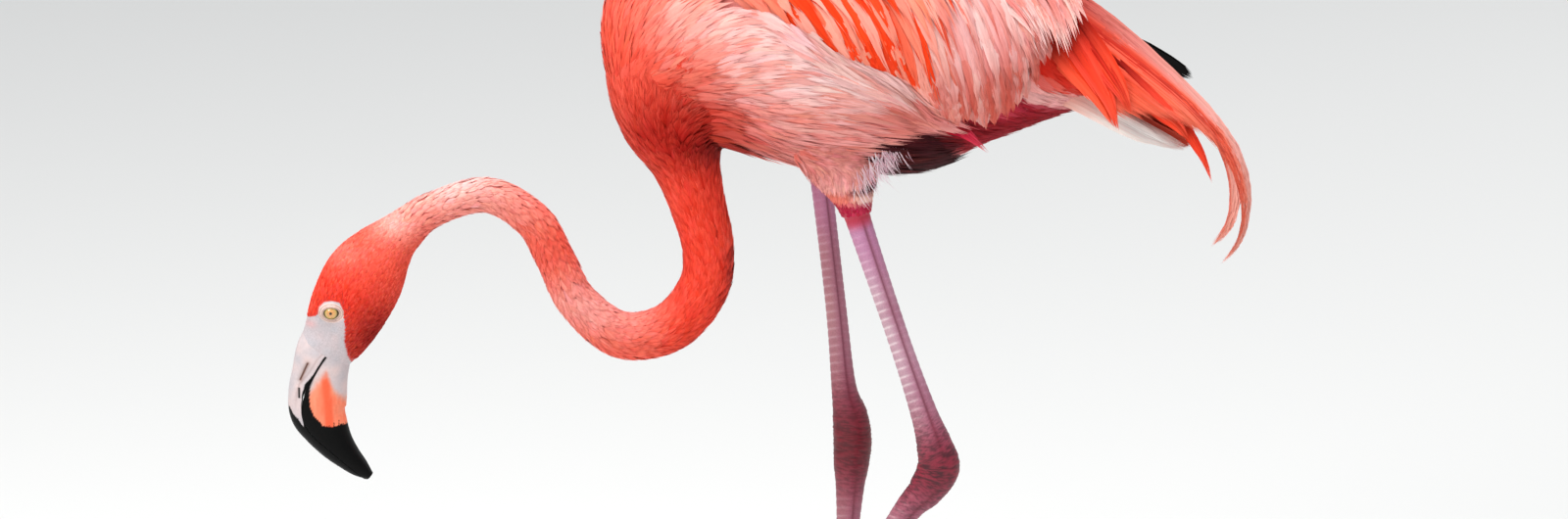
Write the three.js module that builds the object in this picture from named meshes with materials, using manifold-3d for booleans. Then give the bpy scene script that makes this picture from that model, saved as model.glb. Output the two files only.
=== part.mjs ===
// An American flamingo, life size, wading with its neck arched down and its bill lowered.
// Millimetres, +Z up. The bird faces -X, its left side is -Y, and its feet rest on z = 0.

import * as THREE from "three";
import { mergeVertices } from "three/addons/utils/BufferGeometryUtils.js";
import Module from "manifold-3d";

const wasm = await Module();
wasm.setup();

// ---------------------------------------------------------------- driving dimensions

const GAP = 0.35; // clearance between neighbouring pieces
const LEFT = -1;
const RIGHT = 1;

// Rows of a tapering form: [x, y, z, half depth, half width], from one end to the other.

// Head and neck, from the base of the bill to inside the breast.
const NECK = [
  [-351, -30, 411, 21.3, 15.5], // base of the bill
  [-345, -30, 420, 24.4, 17.5], // lores
  [-338, -30, 433, 27.9, 20.5], // eyes
  [-330, -30, 449, 30.4, 22.5], // crown
  [-322, -30, 465, 30.8, 22.5],
  [-314, -30, 478, 28.8, 21.0], // nape
  [-304, -29, 491, 23.6, 18.5],
  [-291, -29, 504, 18.0, 16.2],
  [-268, -27, 521, 14.8, 14.2],
  [-226, -24, 532, 14.8, 14.2], // top of the arch
  [-191, -21, 511, 15.9, 15.0],
  [-174, -18, 479, 16.4, 15.6],
  [-158, -15, 446, 17.2, 16.4],
  [-125, -10, 418, 19.6, 18.4], // bottom of the bend
  [-87, -5, 423, 20.8, 19.6],
  [-62, -1, 452, 21.2, 20.2],
  [-58, 0, 484, 21.7, 21.0],
  [-66, 0, 519, 23.4, 23.0],
  [-75, 0, 552, 28.6, 28.0],
  [-83, 0, 582, 41.0, 38.0], // root of the neck
  [-84, 0, 612, 48.0, 48.0],
  [-76, 0, 645, 55.0, 56.0],
];
const HEAD_START = 0.06; // row where the head meets the bill
const HEAD_END = 6.6; // row where the head meets the neck
const CUT = 0.012; // share of a row that a cut takes away on each side
const NECK_CUTS = [9, 11.2, 13.3, 15.6, 17.9]; // rows where the neck is divided

// Trunk, from breast to rump, in upright sections.
const TRUNK = [
  [-143, 0, 653, 0, 0],
  [-140, 0, 650, 31, 23],
  [-130, 0, 650, 54, 41],
  [-111, 0, 652, 72, 59],
  [-80, 0, 653, 87, 74],
  [-36, 0, 653, 94, 86],
  [14, 0, 649, 100, 91],
  [62, 0, 645, 100, 90],
  [108, 0, 642, 97, 83],
  [150, 0, 643, 80, 71],
  [190, 0, 640, 62, 57],
  [226, 0, 633, 42, 42],
  [250, 0, 622, 26, 30],
  [262, 0, 612, 0, 0],
];

const TAIL = [
  [200, 0, 618, 22, 34],
  [236, 0, 603, 14, 34],
  [272, 0, 584, 7, 31],
  [302, 0, 571, 3, 22],
  [312, 0, 567, 1.4, 9],
];

// Bill, from its base to its tip. The mouth line parts it into two mandibles.
const BILL = [
  [-345, -30, 425, 19.5, 13.5],
  [-351, -30, 411, 21.3, 15.5],
  [-354.5, -30, 394, 21.4, 14.8],
  [-356.5, -30, 378, 22.4, 14.8],
  [-356.5, -30, 363, 21.7, 14.6],
  [-351, -30, 350, 18.2, 13.6],
  [-343, -30, 337, 13.9, 12.2],
  [-333.5, -30, 326, 10.2, 10.4],
  [-324.5, -30, 317.5, 7.2, 8.0],
  [-317, -30, 311.5, 3.0, 4.0],
];
const MOUTH = [
  [-338, 426],
  [-351, 408],
  [-360, 393],
  [-367, 377],
  [-368, 361],
  [-361, 347],
  [-346, 333],
  [-331, 319],
  [-314, 304],
]; // x and z, from the gape to past the tip
const MOUTH_GAP = 0.5;

const EYE_RADIUS = 7.4;
const EYE = [-344.5, -30, 445.5]; // on the head's own midplane
const EYE_OUT = 14.6; // from that midplane to the middle of each eyeball

// Folded wing, as a shell over the trunk: [x, lowest, highest angle in degrees, thickness].
// Angles are measured round the trunk's section, from level outwards and up.
const WING = [
  [-106, 34, 46, 2],
  [-88, 27, 62, 7],
  [-50, 26, 74, 10],
  [0, 28, 80, 11],
  [40, 22, 83, 12],
  [76, 2, 83, 12],
  [104, -14, 83, 11],
  [134, -29, 83, 10],
  [160, -34, 82, 9],
  [180, -27, 80, 7],
  [200, -12, 78, 4],
];

const WING_SUNK = 4; // how far the shell reaches into the trunk
const WING_RADIUS = 80; // typical radius of the trunk under the wing

// Long drooping inner feathers of the left wing: the edge beside the midline, then the outer low edge.
const TRAIN_TOP = [
  [150, -12, 716],
  [192, -12, 702],
  [230, -12, 680],
  [268, -12, 650],
  [304, -12, 616],
  [333, -13, 585],
  [349, -15, 556],
  [355, -18, 528],
  [352, -20, 502],
  [343, -22, 485],
  [332, -23, 476],
];
const TRAIN_LOW = [
  [150, -68, 640],
  [182, -64, 620],
  [216, -57, 606],
  [258, -48, 594],
  [290, -42, 583],
  [312, -36, 567],
  [326, -31, 550],
  [338, -27, 530],
  [344, -25, 508],
  [339, -24, 490],
  [330, -23, 478],
];
const TRAIN_BULGE = 11;
const TRAIN_THICK = 4.5;
const LOOSE_THICK = 3;
const LOOSE = [
  { path: [[196, -62, 640], [222, -58, 622], [242, -54, 604], [252, -52, 585]], half: 8 },
  { path: [[286, -40, 606], [306, -36, 586], [319, -33, 562], [326, -31, 539]], half: 7 },
  { path: [[268, -44, 606], [290, -41, 594], [305, -38, 583], [315, -36, 573]], half: 7 },
]; // separate feathers whose tips leave the low edge
const RIGHT_TRAIN = { scale: 0.94, lower: 10 }; // the right wing's train is a little shorter and lower

const PRIMARIES = [
  { path: [[140, -34, 694], [210, -14, 672], [270, -7, 642], [312, -6, 618]], half: 9 },
  { path: [[140, -36, 686], [205, -16, 664], [260, -8, 636], [300, -7, 614]], half: 9 },
];
const PRIMARY_THICK = 3;

// Legs, from inside the belly down to the joint of the toes.
const LEG_LEFT = [
  [22, -38, 604, 34, 24],
  [38, -41, 572, 30, 22],
  [49, -44, 545, 21, 17],
  [55, -45, 524, 11.5, 11],
  [58, -45, 513, 9.6, 8.8],
  [87, -45, 425, 8.4, 7.4],
  [106, -45, 368, 10.2, 8.4],
  [115, -45, 340, 13.8, 11.2],
  [118, -45, 322, 16.2, 12.6], // ankle
  [108, -46, 304, 13.8, 11.4],
  [96, -47, 291, 10.8, 9.4],
  [70, -49, 255, 8.4, 7.4],
  [0, -54, 160, 7.2, 6.6],
  [-56, -58, 84, 7.6, 7.4],
  [-69, -59, 66, 8.6, 9.0],
];
const LEG_RIGHT = [
  [0, 38, 604, 32, 24],
  [14, 40, 574, 24, 19],
  [22, 41, 552, 14, 13],
  [26, 41, 538, 9.0, 8.6],
  [29, 40, 523, 8.2, 7.8],
  [40, 38, 428, 8.0, 7.2],
  [46, 36, 366, 9.6, 8.2],
  [51, 35, 342, 13.6, 11.2],
  [53, 34, 322, 14.8, 12.6], // ankle
  [52, 32, 302, 13.6, 11.4],
  [51, 30, 284, 11.0, 9.4],
  [49, 26, 240, 8.4, 7.4],
  [46, 12, 140, 7.2, 6.6],
  [43, 1, 40, 7.6, 7.4],
  [42, -2, 13, 9.5, 9.5],
];
const LEG_CUTS = [3, 6.6, 10.2]; // rows that part thigh, shank, ankle and tarsus
const TARSUS_END = 13.6; // row where the tarsus meets the foot

// Feet: three webbed front toes and a small hind toe.
const TOES = [
  { name: "inner", length: 70, spread: -27 },
  { name: "middle", length: 82, spread: 0 },
  { name: "outer", length: 75, spread: 27 },
];
const TOE_BASE_RADIUS = 6.2;
const TOE_TIP_RADIUS = 4.0;
const TOE_CURL_RADIUS = 18;
const BALL_RADIUS = 9; // of the pad under the joint of the toes
const HIND_TOE = 17;
const HIND_TOE_HANGS = 12; // how far a lifted foot's hind toe drops
const HIND_TOE_RESTS = 2.6; // height of its end on a standing foot
const HIND_TOE_RADIUS = 4.5;
const HIND_TOE_TAPER = 1.9;
const CLAW = 9;
const CLAW_GAP = 0.9;
const CLAW_WIDTH = 3.4; // half widths and heights at the claw's root
const CLAW_HEIGHT = 3.1;
const CLAW_TAPER = 0.75;
const CLAW_DROP = 0.62; // share of its height that the claw's line loses towards the point
const WEB_THICK = 2.4;
const WEB_REACH = 0.86; // share of the toes that the web joins
const WEB_HOLLOW = 2.2; // how many steps of the toes the web's front edge curves back
const WEB_LOWER = 1.2; // how far the web lies below the toes' lines
const SOLE_TRIM = 0.7; // how much of each toe's underside is worn flat by the floor

const FOOT_RIGHT = { joint: [42, -2, 8.4], heading: -3, descent: 0, spread: 1 };
const FOOT_LEFT = { joint: [-69, -59, 65], heading: 4, descent: 78, spread: 0.62 };

const COLOURS = {
  coral: 0xe8442e,
  pink: 0xf0a59c,
  orange: 0xf4613a,
  black: 0x16120f,
  horn: 0xe9d9d3,
  leg: 0xb4788a,
  ankle: 0x6e1f30,
  eye: 0xe4c069,
};

// ---------------------------------------------------------------- curves and solids

// Catmull-Rom interpolation between rows of numbers. u runs from 0 to rows.length - 1.
function between(rows, u) {
  const last = rows.length - 1;
  const i = Math.min(Math.max(Math.floor(u), 0), last - 1);
  const t = u - i;
  const [a, b, c, d] = [-1, 0, 1, 2].map((k) => rows[Math.min(Math.max(i + k, 0), last)]);
  return b.map((_, k) => {
    const bend = 2 * a[k] - 5 * b[k] + 4 * c[k] - d[k];
    const twist = 3 * (b[k] - c[k]) + d[k] - a[k];
    return b[k] + 0.5 * t * (c[k] - a[k] + t * (bend + t * twist));
  });
}

// A closed triangle mesh as a solid, turned the right way out.
function solid(points, faces) {
  const geometry = new THREE.BufferGeometry().setFromPoints(points);
  geometry.setIndex(faces.flat());
  const merged = mergeVertices(geometry, 1e-4);
  const positions = merged.attributes.position;
  const index = Array.from(merged.index.array);
  const [a, b, c] = [new THREE.Vector3(), new THREE.Vector3(), new THREE.Vector3()];
  let volume = 0;
  for (let i = 0; i < index.length; i += 3) {
    a.fromBufferAttribute(positions, index[i]);
    b.fromBufferAttribute(positions, index[i + 1]);
    c.fromBufferAttribute(positions, index[i + 2]);
    volume += a.dot(b.cross(c));
  }
  const triangles = [];
  for (let i = 0; i < index.length; i += 3) {
    const [p, q, r] = index.slice(i, i + 3);
    if (p !== q && q !== r && r !== p) triangles.push(p, ...(volume < 0 ? [r, q] : [q, r]));
  }
  return new wasm.Manifold(
    new wasm.Mesh({
      numProp: 3,
      vertProperties: new Float32Array(positions.array),
      triVerts: new Uint32Array(triangles),
    }),
  );
}

// Joins rings of equal length into a closed skin, with a fan over each end.
function skinOver(rings) {
  const sides = rings[0].length;
  const points = rings.flat();
  const faces = [];
  for (let i = 0; i < rings.length - 1; i++) {
    for (let j = 0; j < sides; j++) {
      const k = (j + 1) % sides;
      const [p, q, r, s] = [i * sides + j, i * sides + k, (i + 1) * sides + k, (i + 1) * sides + j];
      faces.push([p, q, r], [p, r, s]);
    }
  }
  for (const [ring, start, turned] of [
    [rings[0], 0, false],
    [rings.at(-1), (rings.length - 1) * sides, true],
  ]) {
    const middle = ring.reduce((sum, p) => sum.add(p), new THREE.Vector3()).divideScalar(sides);
    const centre = points.push(middle) - 1;
    for (let j = 0; j < sides; j++) {
      const [p, q] = [start + j, start + ((j + 1) % sides)];
      faces.push(turned ? [centre, p, q] : [centre, q, p]);
    }
  }
  return solid(points, faces);
}

// The section of a tapering form at row u. Upright sections face along X, others follow the form's line.
function section(rows, u, sides, { grow = 0, upright = false } = {}) {
  const [x, y, z, depth, width] = between(rows, u);
  const step = 0.01;
  const ahead = new THREE.Vector3(...between(rows, Math.min(u + step, rows.length - 1)));
  const behind = new THREE.Vector3(...between(rows, Math.max(u - step, 0)));
  const along = upright ? new THREE.Vector3(1, 0, 0) : ahead.sub(behind).normalize();
  const across = new THREE.Vector3(0, 1, 0).addScaledVector(along, -along.y).normalize();
  const up = new THREE.Vector3().crossVectors(along, across);
  return Array.from({ length: sides }, (_, j) => {
    const angle = (2 * Math.PI * j) / sides;
    return new THREE.Vector3(x, y, z)
      .addScaledVector(across, (Math.max(width, 0) + grow) * Math.cos(angle))
      .addScaledVector(up, (Math.max(depth, 0) + grow) * Math.sin(angle));
  });
}

function taper(rows, { from = 0, to = rows.length - 1, steps, sides, ...shape }) {
  const rings = [];
  for (let i = 0; i <= steps; i++) rings.push(section(rows, from + ((to - from) * i) / steps, sides, shape));
  return skinOver(rings);
}

// A thin curved sheet from a grid of points on its middle surface, thinned towards its edges.
function sheet(middle, thickness, { edge = 0.35, grow = 0 } = {}) {
  const grid = middle.map((line) => {
    const out = line[0].clone().sub(line.at(-1)).setLength(grow);
    return line.map((p, j) => p.clone().addScaledVector(out, 1 - (2 * j) / (line.length - 1)));
  });
  const rows = grid.length;
  const columns = grid[0].length;
  const faceOf = (i, j) => {
    const along = grid[Math.min(i + 1, rows - 1)][j].clone().sub(grid[Math.max(i - 1, 0)][j]);
    const over = grid[i][Math.min(j + 1, columns - 1)].clone().sub(grid[i][Math.max(j - 1, 0)]);
    return along.cross(over).normalize();
  };
  const rings = grid.map((line, i) => {
    const side = (sign) =>
      line.map((p, j) => {
        const inner = Math.sin((Math.PI * j) / (columns - 1));
        const half = (thickness / 2) * (edge + (1 - edge) * inner) + grow;
        return p.clone().addScaledVector(faceOf(i, j), sign * half);
      });
    return [...side(1), ...side(-1).reverse()];
  });
  return skinOver(rings);
}

// A feather blade along a curve through four points, tapering to its tip.
function blade(path, half, thickness, grow = 0) {
  const curve = new THREE.CatmullRomCurve3(path.map((p) => new THREE.Vector3(...p)));
  const steps = 7;
  const grid = [];
  for (let i = 0; i <= steps; i++) {
    const t = i / steps;
    const along = curve.getTangentAt(t);
    const over = new THREE.Vector3(0, 1, 0).cross(along).normalize();
    const reach = half * Math.min(0.55 + 1.6 * t, 1) * Math.sqrt(Math.max(1 - t ** 3, 0.012));
    grid.push([-1, 0, 1].map((k) => curve.getPointAt(t).addScaledVector(over, k * reach)));
  }
  return sheet(grid, thickness, { edge: 0.3, grow });
}

// ---------------------------------------------------------------- head, neck and trunk

const trunkGrown = (grow) => taper(TRUNK, { steps: 22, sides: 22, upright: true, grow });
const tailGrown = (grow) => taper(TAIL, { steps: 6, sides: 12, upright: true, grow });

function eyeball(side, grow = 0) {
  const ball = new THREE.SphereGeometry(EYE_RADIUS + grow, 12, 8);
  ball.deleteAttribute("normal").deleteAttribute("uv");
  ball.translate(EYE[0], EYE[1] + side * EYE_OUT, EYE[2]);
  const at = ball.attributes.position;
  const points = Array.from({ length: at.count }, (_, i) => new THREE.Vector3().fromBufferAttribute(at, i));
  return solid(points, [Array.from(ball.index.array)]);
}

const headForm = (from, grow) => taper(NECK, { from, to: HEAD_END - CUT, steps: 11, sides: 15, grow });

// Half the bill each: a thick curved wall along the mouth line takes away the other half.
function mandibles() {
  const whole = taper(BILL, { steps: 14, sides: 14 }).subtract(headForm(HEAD_START / 2, GAP));
  const far = 90;
  const steps = 12;
  const line = Array.from({ length: steps + 1 }, (_, i) => between(MOUTH, ((MOUTH.length - 1) * i) / steps));
  const wall = (sign) => {
    const ring = (y) =>
      [
        ...line.map(([x, z]) => [x - (sign * MOUTH_GAP) / 2, z]),
        ...[...line].reverse().map(([x, z]) => [x - sign * far, z + (sign * far) / 3]),
      ].map(([x, z]) => new THREE.Vector3(x, y, z));
    const shape = new THREE.Shape(ring(0).map((p) => new THREE.Vector2(p.x, p.z)));
    const block = new THREE.ExtrudeGeometry(shape, { depth: far, bevelEnabled: false, curveSegments: 1 });
    block.deleteAttribute("normal").deleteAttribute("uv");
    block.rotateX(Math.PI / 2).translate(0, EYE[1] + far / 2, 0);
    const at = block.attributes.position;
    const points = Array.from({ length: at.count }, (_, i) => new THREE.Vector3().fromBufferAttribute(at, i));
    const index = block.index ? Array.from(block.index.array) : points.map((_, i) => i);
    return solid(points, [index]);
  };
  return { upper: whole.intersect(wall(1)), lower: whole.intersect(wall(-1)) };
}

function headAndNeck() {
  const steps = (from, to) => Math.max(3, Math.round((to - from) * 2));
  const cuts = [HEAD_END, ...NECK_CUTS, NECK.length - 1];
  const head = headForm(HEAD_START, 0).subtract(eyeball(LEFT, GAP)).subtract(eyeball(RIGHT, GAP));
  const pieces = { head };
  for (let i = 0; i < cuts.length - 1; i++) {
    const [from, to] = [cuts[i] + CUT, cuts[i + 1] - CUT];
    pieces[`neck_${i + 1}`] = taper(NECK, { from, to, steps: steps(from, to), sides: 13 });
  }
  const root = `neck_${cuts.length - 1}`;
  pieces[root] = pieces[root].subtract(trunkGrown(GAP));
  return pieces;
}

// ---------------------------------------------------------------- wings and tail

// The wing's section at row u: out over the trunk and back inside it.
function wingSection(side, u, grow) {
  const [x, low, high, thick] = between(WING, u);
  const points = 6;
  let [lo, hi] = [0, TRUNK.length - 1];
  while (hi - lo > 1e-4) {
    const middle = (lo + hi) / 2;
    if (between(TRUNK, middle)[0] < x) lo = middle;
    else hi = middle;
  }
  const [, , z, depth, width] = between(TRUNK, lo);
  const at = (degrees, out) => {
    const angle = (degrees * Math.PI) / 180;
    return new THREE.Vector3(x, side * (width + out) * Math.cos(angle), z + (depth + out) * Math.sin(angle));
  };
  const spare = (grow * 180) / (Math.PI * WING_RADIUS); // degrees that widen the shell by the same amount
  const arc = (out) =>
    Array.from({ length: points }, (_, k) => {
      const t = k / (points - 1);
      return at(low - spare + (high - low + 2 * spare) * t, out(t));
    });
  const bulge = (t) => grow + Math.max(thick, 1.5) * (0.25 + 0.75 * Math.sin(Math.PI * Math.min(t + 0.12, 1)));
  return [...arc(bulge), ...arc(() => -WING_SUNK).reverse()];
}

function wing(side, grow = 0) {
  const steps = 13;
  const rings = [];
  for (let i = 0; i <= steps; i++) rings.push(wingSection(side, ((WING.length - 1) * i) / steps, grow));
  rings[0].forEach((p) => p.setX(p.x - grow));
  rings.at(-1).forEach((p) => p.setX(p.x + grow));
  return skinOver(rings);
}

// Points given for the left side, placed on either side.
function placed(points, side) {
  const [fx, , fz] = TRAIN_TOP[0];
  const { scale, lower } = side === RIGHT ? RIGHT_TRAIN : { scale: 1, lower: 0 };
  return points.map(([x, y, z]) => [fx + (x - fx) * scale, y * -side, fz + (z - fz) * scale - lower]);
}

function train(side, grow = 0) {
  const [top, low] = [placed(TRAIN_TOP, side), placed(TRAIN_LOW, side)];
  const steps = 12;
  const columns = 4;
  const grid = [];
  for (let i = 0; i <= steps; i++) {
    const u = ((top.length - 1) * i) / steps;
    const [a, b] = [new THREE.Vector3(...between(top, u)), new THREE.Vector3(...between(low, u))];
    const width = a.distanceTo(b);
    grid.push(
      Array.from({ length: columns }, (_, j) => {
        const t = j / (columns - 1);
        const out = Math.min(TRAIN_BULGE, width / 4) * Math.sin(Math.PI * t);
        return a.clone().lerp(b, t).add(new THREE.Vector3(0, side * out, out * 0.3));
      }),
    );
  }
  const loose = LOOSE.map(({ path, half }) => blade(placed(path, side), half, LOOSE_THICK, grow));
  return wasm.Manifold.union([sheet(grid, TRAIN_THICK, { grow }), ...loose]);
}

// Wing, train and primaries of one side, each clear of the ones it lies on.
function wingPieces(side) {
  const name = side === LEFT ? "left" : "right";
  const body = trunkGrown(GAP).add(tailGrown(GAP));
  const clearance = body.add(wing(side, GAP));
  const quills = PRIMARIES.map(({ path, half }) => blade(mirrored(path, side), half, PRIMARY_THICK));
  return {
    [`wing_${name}`]: largest(wing(side).subtract(body)),
    [`train_${name}`]: largest(train(side).subtract(clearance)),
    [`primaries_${name}`]: largest(wasm.Manifold.union(quills).subtract(clearance).subtract(train(side, GAP))),
  };
}

function mirrored(points, side) {
  return points.map(([x, y, z]) => [x, y * -side, z]);
}

function largest(piece) {
  return piece.decompose().sort((a, b) => b.volume() - a.volume())[0];
}

// ---------------------------------------------------------------- legs and feet

// Points along a toe. On a standing foot it lies on the floor. On a lifted one it drops from the joint
// and curls forward, and only its end lies on the floor.
function toeLine({ joint, heading, descent, spread }, toe) {
  const steps = 8;
  const turn = ((heading + toe.spread * spread) * Math.PI) / 180;
  const steep = (descent * Math.PI) / 180;
  const endHeight = toeRadius(1) - SOLE_TRIM;
  const straight = (joint[2] - endHeight - TOE_CURL_RADIUS * (1 - Math.cos(steep))) / Math.sin(steep);
  const line = [new THREE.Vector3(...joint)];
  for (let i = 1; i <= steps; i++) {
    const curled = ((i - 0.5) * toe.length) / steps - straight;
    const slope = steep && steep * Math.min(Math.max(1 - curled / (TOE_CURL_RADIUS * steep), 0), 1);
    const [cos, sin] = [Math.cos(slope), Math.sin(slope)];
    const ahead = new THREE.Vector3(-Math.cos(turn) * cos, -Math.sin(turn) * cos, -sin);
    line.push(line.at(-1).clone().addScaledVector(ahead, toe.length / steps));
  }
  if (!steep) line.forEach((p, i) => p.setZ(toeRadius(i / steps) - SOLE_TRIM));
  return line;
}

function toeRadius(t) {
  const knuckles = 0.35 * Math.cos(6 * Math.PI * t);
  return TOE_BASE_RADIUS + (TOE_TIP_RADIUS - TOE_BASE_RADIUS) * t + knuckles;
}

const toe = (line) => {
  const rows = line.map((p, i) => {
    const radius = toeRadius(i / (line.length - 1));
    return [...p, radius, radius * 0.95];
  });
  return taper(rows, { steps: 7, sides: 7 });
};

// Thin skin between two toes, with a hollow front edge.
function web(first, second) {
  const columns = 3;
  const last = Math.round((first.length - 1) * WEB_REACH);
  const at = (line, u) => {
    const low = Math.floor(u);
    return line[low].clone().lerp(line[Math.min(low + 1, line.length - 1)], u - low);
  };
  const grid = [];
  for (let i = 0; i <= last; i++) {
    grid.push(
      Array.from({ length: columns }, (_, j) => {
        const t = j / (columns - 1);
        const u = Math.max(0, i - WEB_HOLLOW * Math.sin(Math.PI * t) * (i / last) ** 2);
        return at(first, u).lerp(at(second, u), t).add(new THREE.Vector3(0, 0, -WEB_LOWER));
      }),
    );
  }
  return sheet(grid, WEB_THICK, { edge: 1 });
}

function hindToe({ joint: [x, y, z], heading, descent }) {
  const back = ((heading + 180) * Math.PI) / 180;
  const drop = descent > 0 ? HIND_TOE_HANGS : z - HIND_TOE_RESTS;
  const rows = [0, 0.4, 0.8, 1].map((t) => {
    const radius = HIND_TOE_RADIUS - HIND_TOE_TAPER * t;
    const reach = HIND_TOE * t;
    return [x - Math.cos(back) * reach, y - Math.sin(back) * reach, z - drop * t ** 0.8, radius + 0.1, radius - 0.1];
  });
  return taper(rows, { steps: 3, sides: 6 });
}

function ballOf({ joint: [x, y, z] }) {
  const rows = [-1, -0.8, -0.3, 0.3, 0.8, 1].map((t) => {
    const radius = BALL_RADIUS * Math.sqrt(1.05 - t * t);
    return [x, y, z + BALL_RADIUS * t, radius, radius * 0.95];
  });
  return taper(rows, { steps: 6, sides: 7 });
}

function claw(line) {
  const tip = line.at(-1);
  const ahead = tip.clone().sub(line.at(-2)).normalize();
  const rows = [0, 0.5, 1].map((t) => {
    const p = tip.clone().addScaledVector(ahead, CLAW_GAP + CLAW * t);
    const height = TOE_TIP_RADIUS * (1 - CLAW_DROP * t) - SOLE_TRIM * 0.5;
    const size = 1 - CLAW_TAPER * t;
    return [p.x, p.y, height, CLAW_HEIGHT * size, CLAW_WIDTH * size];
  });
  return taper(rows, { steps: 3, sides: 6 });
}

function foot(side, stance) {
  const name = side === LEFT ? "left" : "right";
  const lines = TOES.map((digit) => toeLine(stance, { ...digit, spread: -side * digit.spread }));
  const webs = [web(lines[0], lines[1]), web(lines[1], lines[2])];
  const above = (piece) => piece.trimByPlane([0, 0, 1], 0);
  const whole = wasm.Manifold.union([...lines.map(toe), ...webs, hindToe(stance), ballOf(stance)]);
  const pieces = { [`foot_${name}`]: above(whole) };
  lines.forEach((line, k) => {
    pieces[`claw_${name}_${TOES[k].name}`] = above(claw(line));
  });
  return pieces;
}

function leg(side, rows, stance) {
  const name = side === LEFT ? "left" : "right";
  const cuts = [0, ...LEG_CUTS, TARSUS_END];
  const names = ["thigh", "shank", "ankle", "tarsus"];
  const standing = foot(side, stance);
  const pieces = {};
  names.forEach((part, i) => {
    const [from, to] = [cuts[i] + CUT, cuts[i + 1] - CUT];
    const steps = Math.round((to - from) * 2.2);
    pieces[`${part}_${name}`] = taper(rows, { from, to, steps, sides: 9 });
  });
  pieces[`thigh_${name}`] = largest(pieces[`thigh_${name}`].subtract(trunkGrown(GAP)));
  const shin = taper(rows, { from: LEG_CUTS[2], to: TARSUS_END, steps: 6, sides: 9, grow: GAP });
  standing[`foot_${name}`] = largest(standing[`foot_${name}`].subtract(shin));
  return { ...pieces, ...standing };
}

// ---------------------------------------------------------------- the bird

const bird = new THREE.Group();

function add(name, piece, colour, roughness = 0.8) {
  const { vertProperties, triVerts, numProp } = piece.getMesh();
  const geometry = new THREE.BufferGeometry();
  const positions = new Float32Array((vertProperties.length / numProp) * 3);
  for (let i = 0; i * numProp < vertProperties.length; i++) {
    positions.set(vertProperties.subarray(i * numProp, i * numProp + 3), i * 3);
  }
  geometry.setAttribute("position", new THREE.BufferAttribute(positions, 3));
  geometry.setIndex(new THREE.BufferAttribute(triVerts, 1));
  const mesh = new THREE.Mesh(geometry, new THREE.MeshStandardMaterial({ color: colour, roughness }));
  mesh.name = name;
  bird.add(mesh);
}

function colourOf(name) {
  if (name.startsWith("claw") || name.startsWith("primaries")) return COLOURS.black;
  if (name.startsWith("ankle")) return COLOURS.ankle;
  if (name.startsWith("shank") || name.startsWith("tarsus") || name.startsWith("foot")) return COLOURS.leg;
  if (name.startsWith("train") || name.startsWith("wing")) return COLOURS.orange;
  if (name.startsWith("head") || name.startsWith("neck")) return COLOURS.coral;
  return COLOURS.pink;
}

const { upper, lower } = mandibles();
const tail = tailGrown(0).subtract(trunkGrown(GAP));
add("bill_upper", largest(upper), COLOURS.horn, 0.4);
add("bill_lower", largest(lower), COLOURS.orange, 0.4);
add("eye_left", eyeball(LEFT), COLOURS.eye, 0.1);
add("eye_right", eyeball(RIGHT), COLOURS.eye, 0.1);
add("trunk", trunkGrown(0), COLOURS.pink);
add("tail", largest(tail), COLOURS.pink);
const parts = {
  ...headAndNeck(),
  ...wingPieces(LEFT),
  ...wingPieces(RIGHT),
  ...leg(LEFT, LEG_LEFT, FOOT_LEFT),
  ...leg(RIGHT, LEG_RIGHT, FOOT_RIGHT),
};
for (const [name, piece] of Object.entries(parts)) add(name, piece, colourOf(name));

// The origin is on the floor, under the middle of the bird's box.
const box = new THREE.Box3().setFromObject(bird);
const middle = box.getCenter(new THREE.Vector3());
bird.position.set(-middle.x, -middle.y, 0);

export default bird;
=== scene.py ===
"""An American flamingo, wading with its neck arched down: the skin, bill, eyes, claws and coat over its solids.

Lengths are design millimetres: the bird faces -X, its left side is -Y and its feet rest on z = 0.
Colours are sRGB from 0 to 255.
"""

import math

import bmesh
import bpy
import numpy as np
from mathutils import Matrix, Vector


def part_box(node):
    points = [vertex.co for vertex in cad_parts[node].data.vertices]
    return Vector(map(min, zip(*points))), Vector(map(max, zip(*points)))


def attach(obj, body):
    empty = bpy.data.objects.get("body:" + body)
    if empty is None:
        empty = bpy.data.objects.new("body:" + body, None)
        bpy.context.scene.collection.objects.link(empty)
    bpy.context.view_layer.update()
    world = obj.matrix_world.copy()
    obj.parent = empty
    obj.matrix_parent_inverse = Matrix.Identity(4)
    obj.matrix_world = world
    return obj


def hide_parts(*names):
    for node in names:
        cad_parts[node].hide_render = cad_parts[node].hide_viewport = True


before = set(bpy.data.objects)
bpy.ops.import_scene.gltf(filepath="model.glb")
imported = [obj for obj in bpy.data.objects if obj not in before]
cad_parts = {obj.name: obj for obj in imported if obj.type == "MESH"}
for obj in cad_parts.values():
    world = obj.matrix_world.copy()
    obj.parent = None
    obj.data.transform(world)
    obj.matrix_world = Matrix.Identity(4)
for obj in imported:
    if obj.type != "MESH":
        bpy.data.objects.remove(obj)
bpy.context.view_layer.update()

# ---------------------------------------------------------------- sizes and places

MM = 0.001
LEFT = -1
RIGHT = 1

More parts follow.
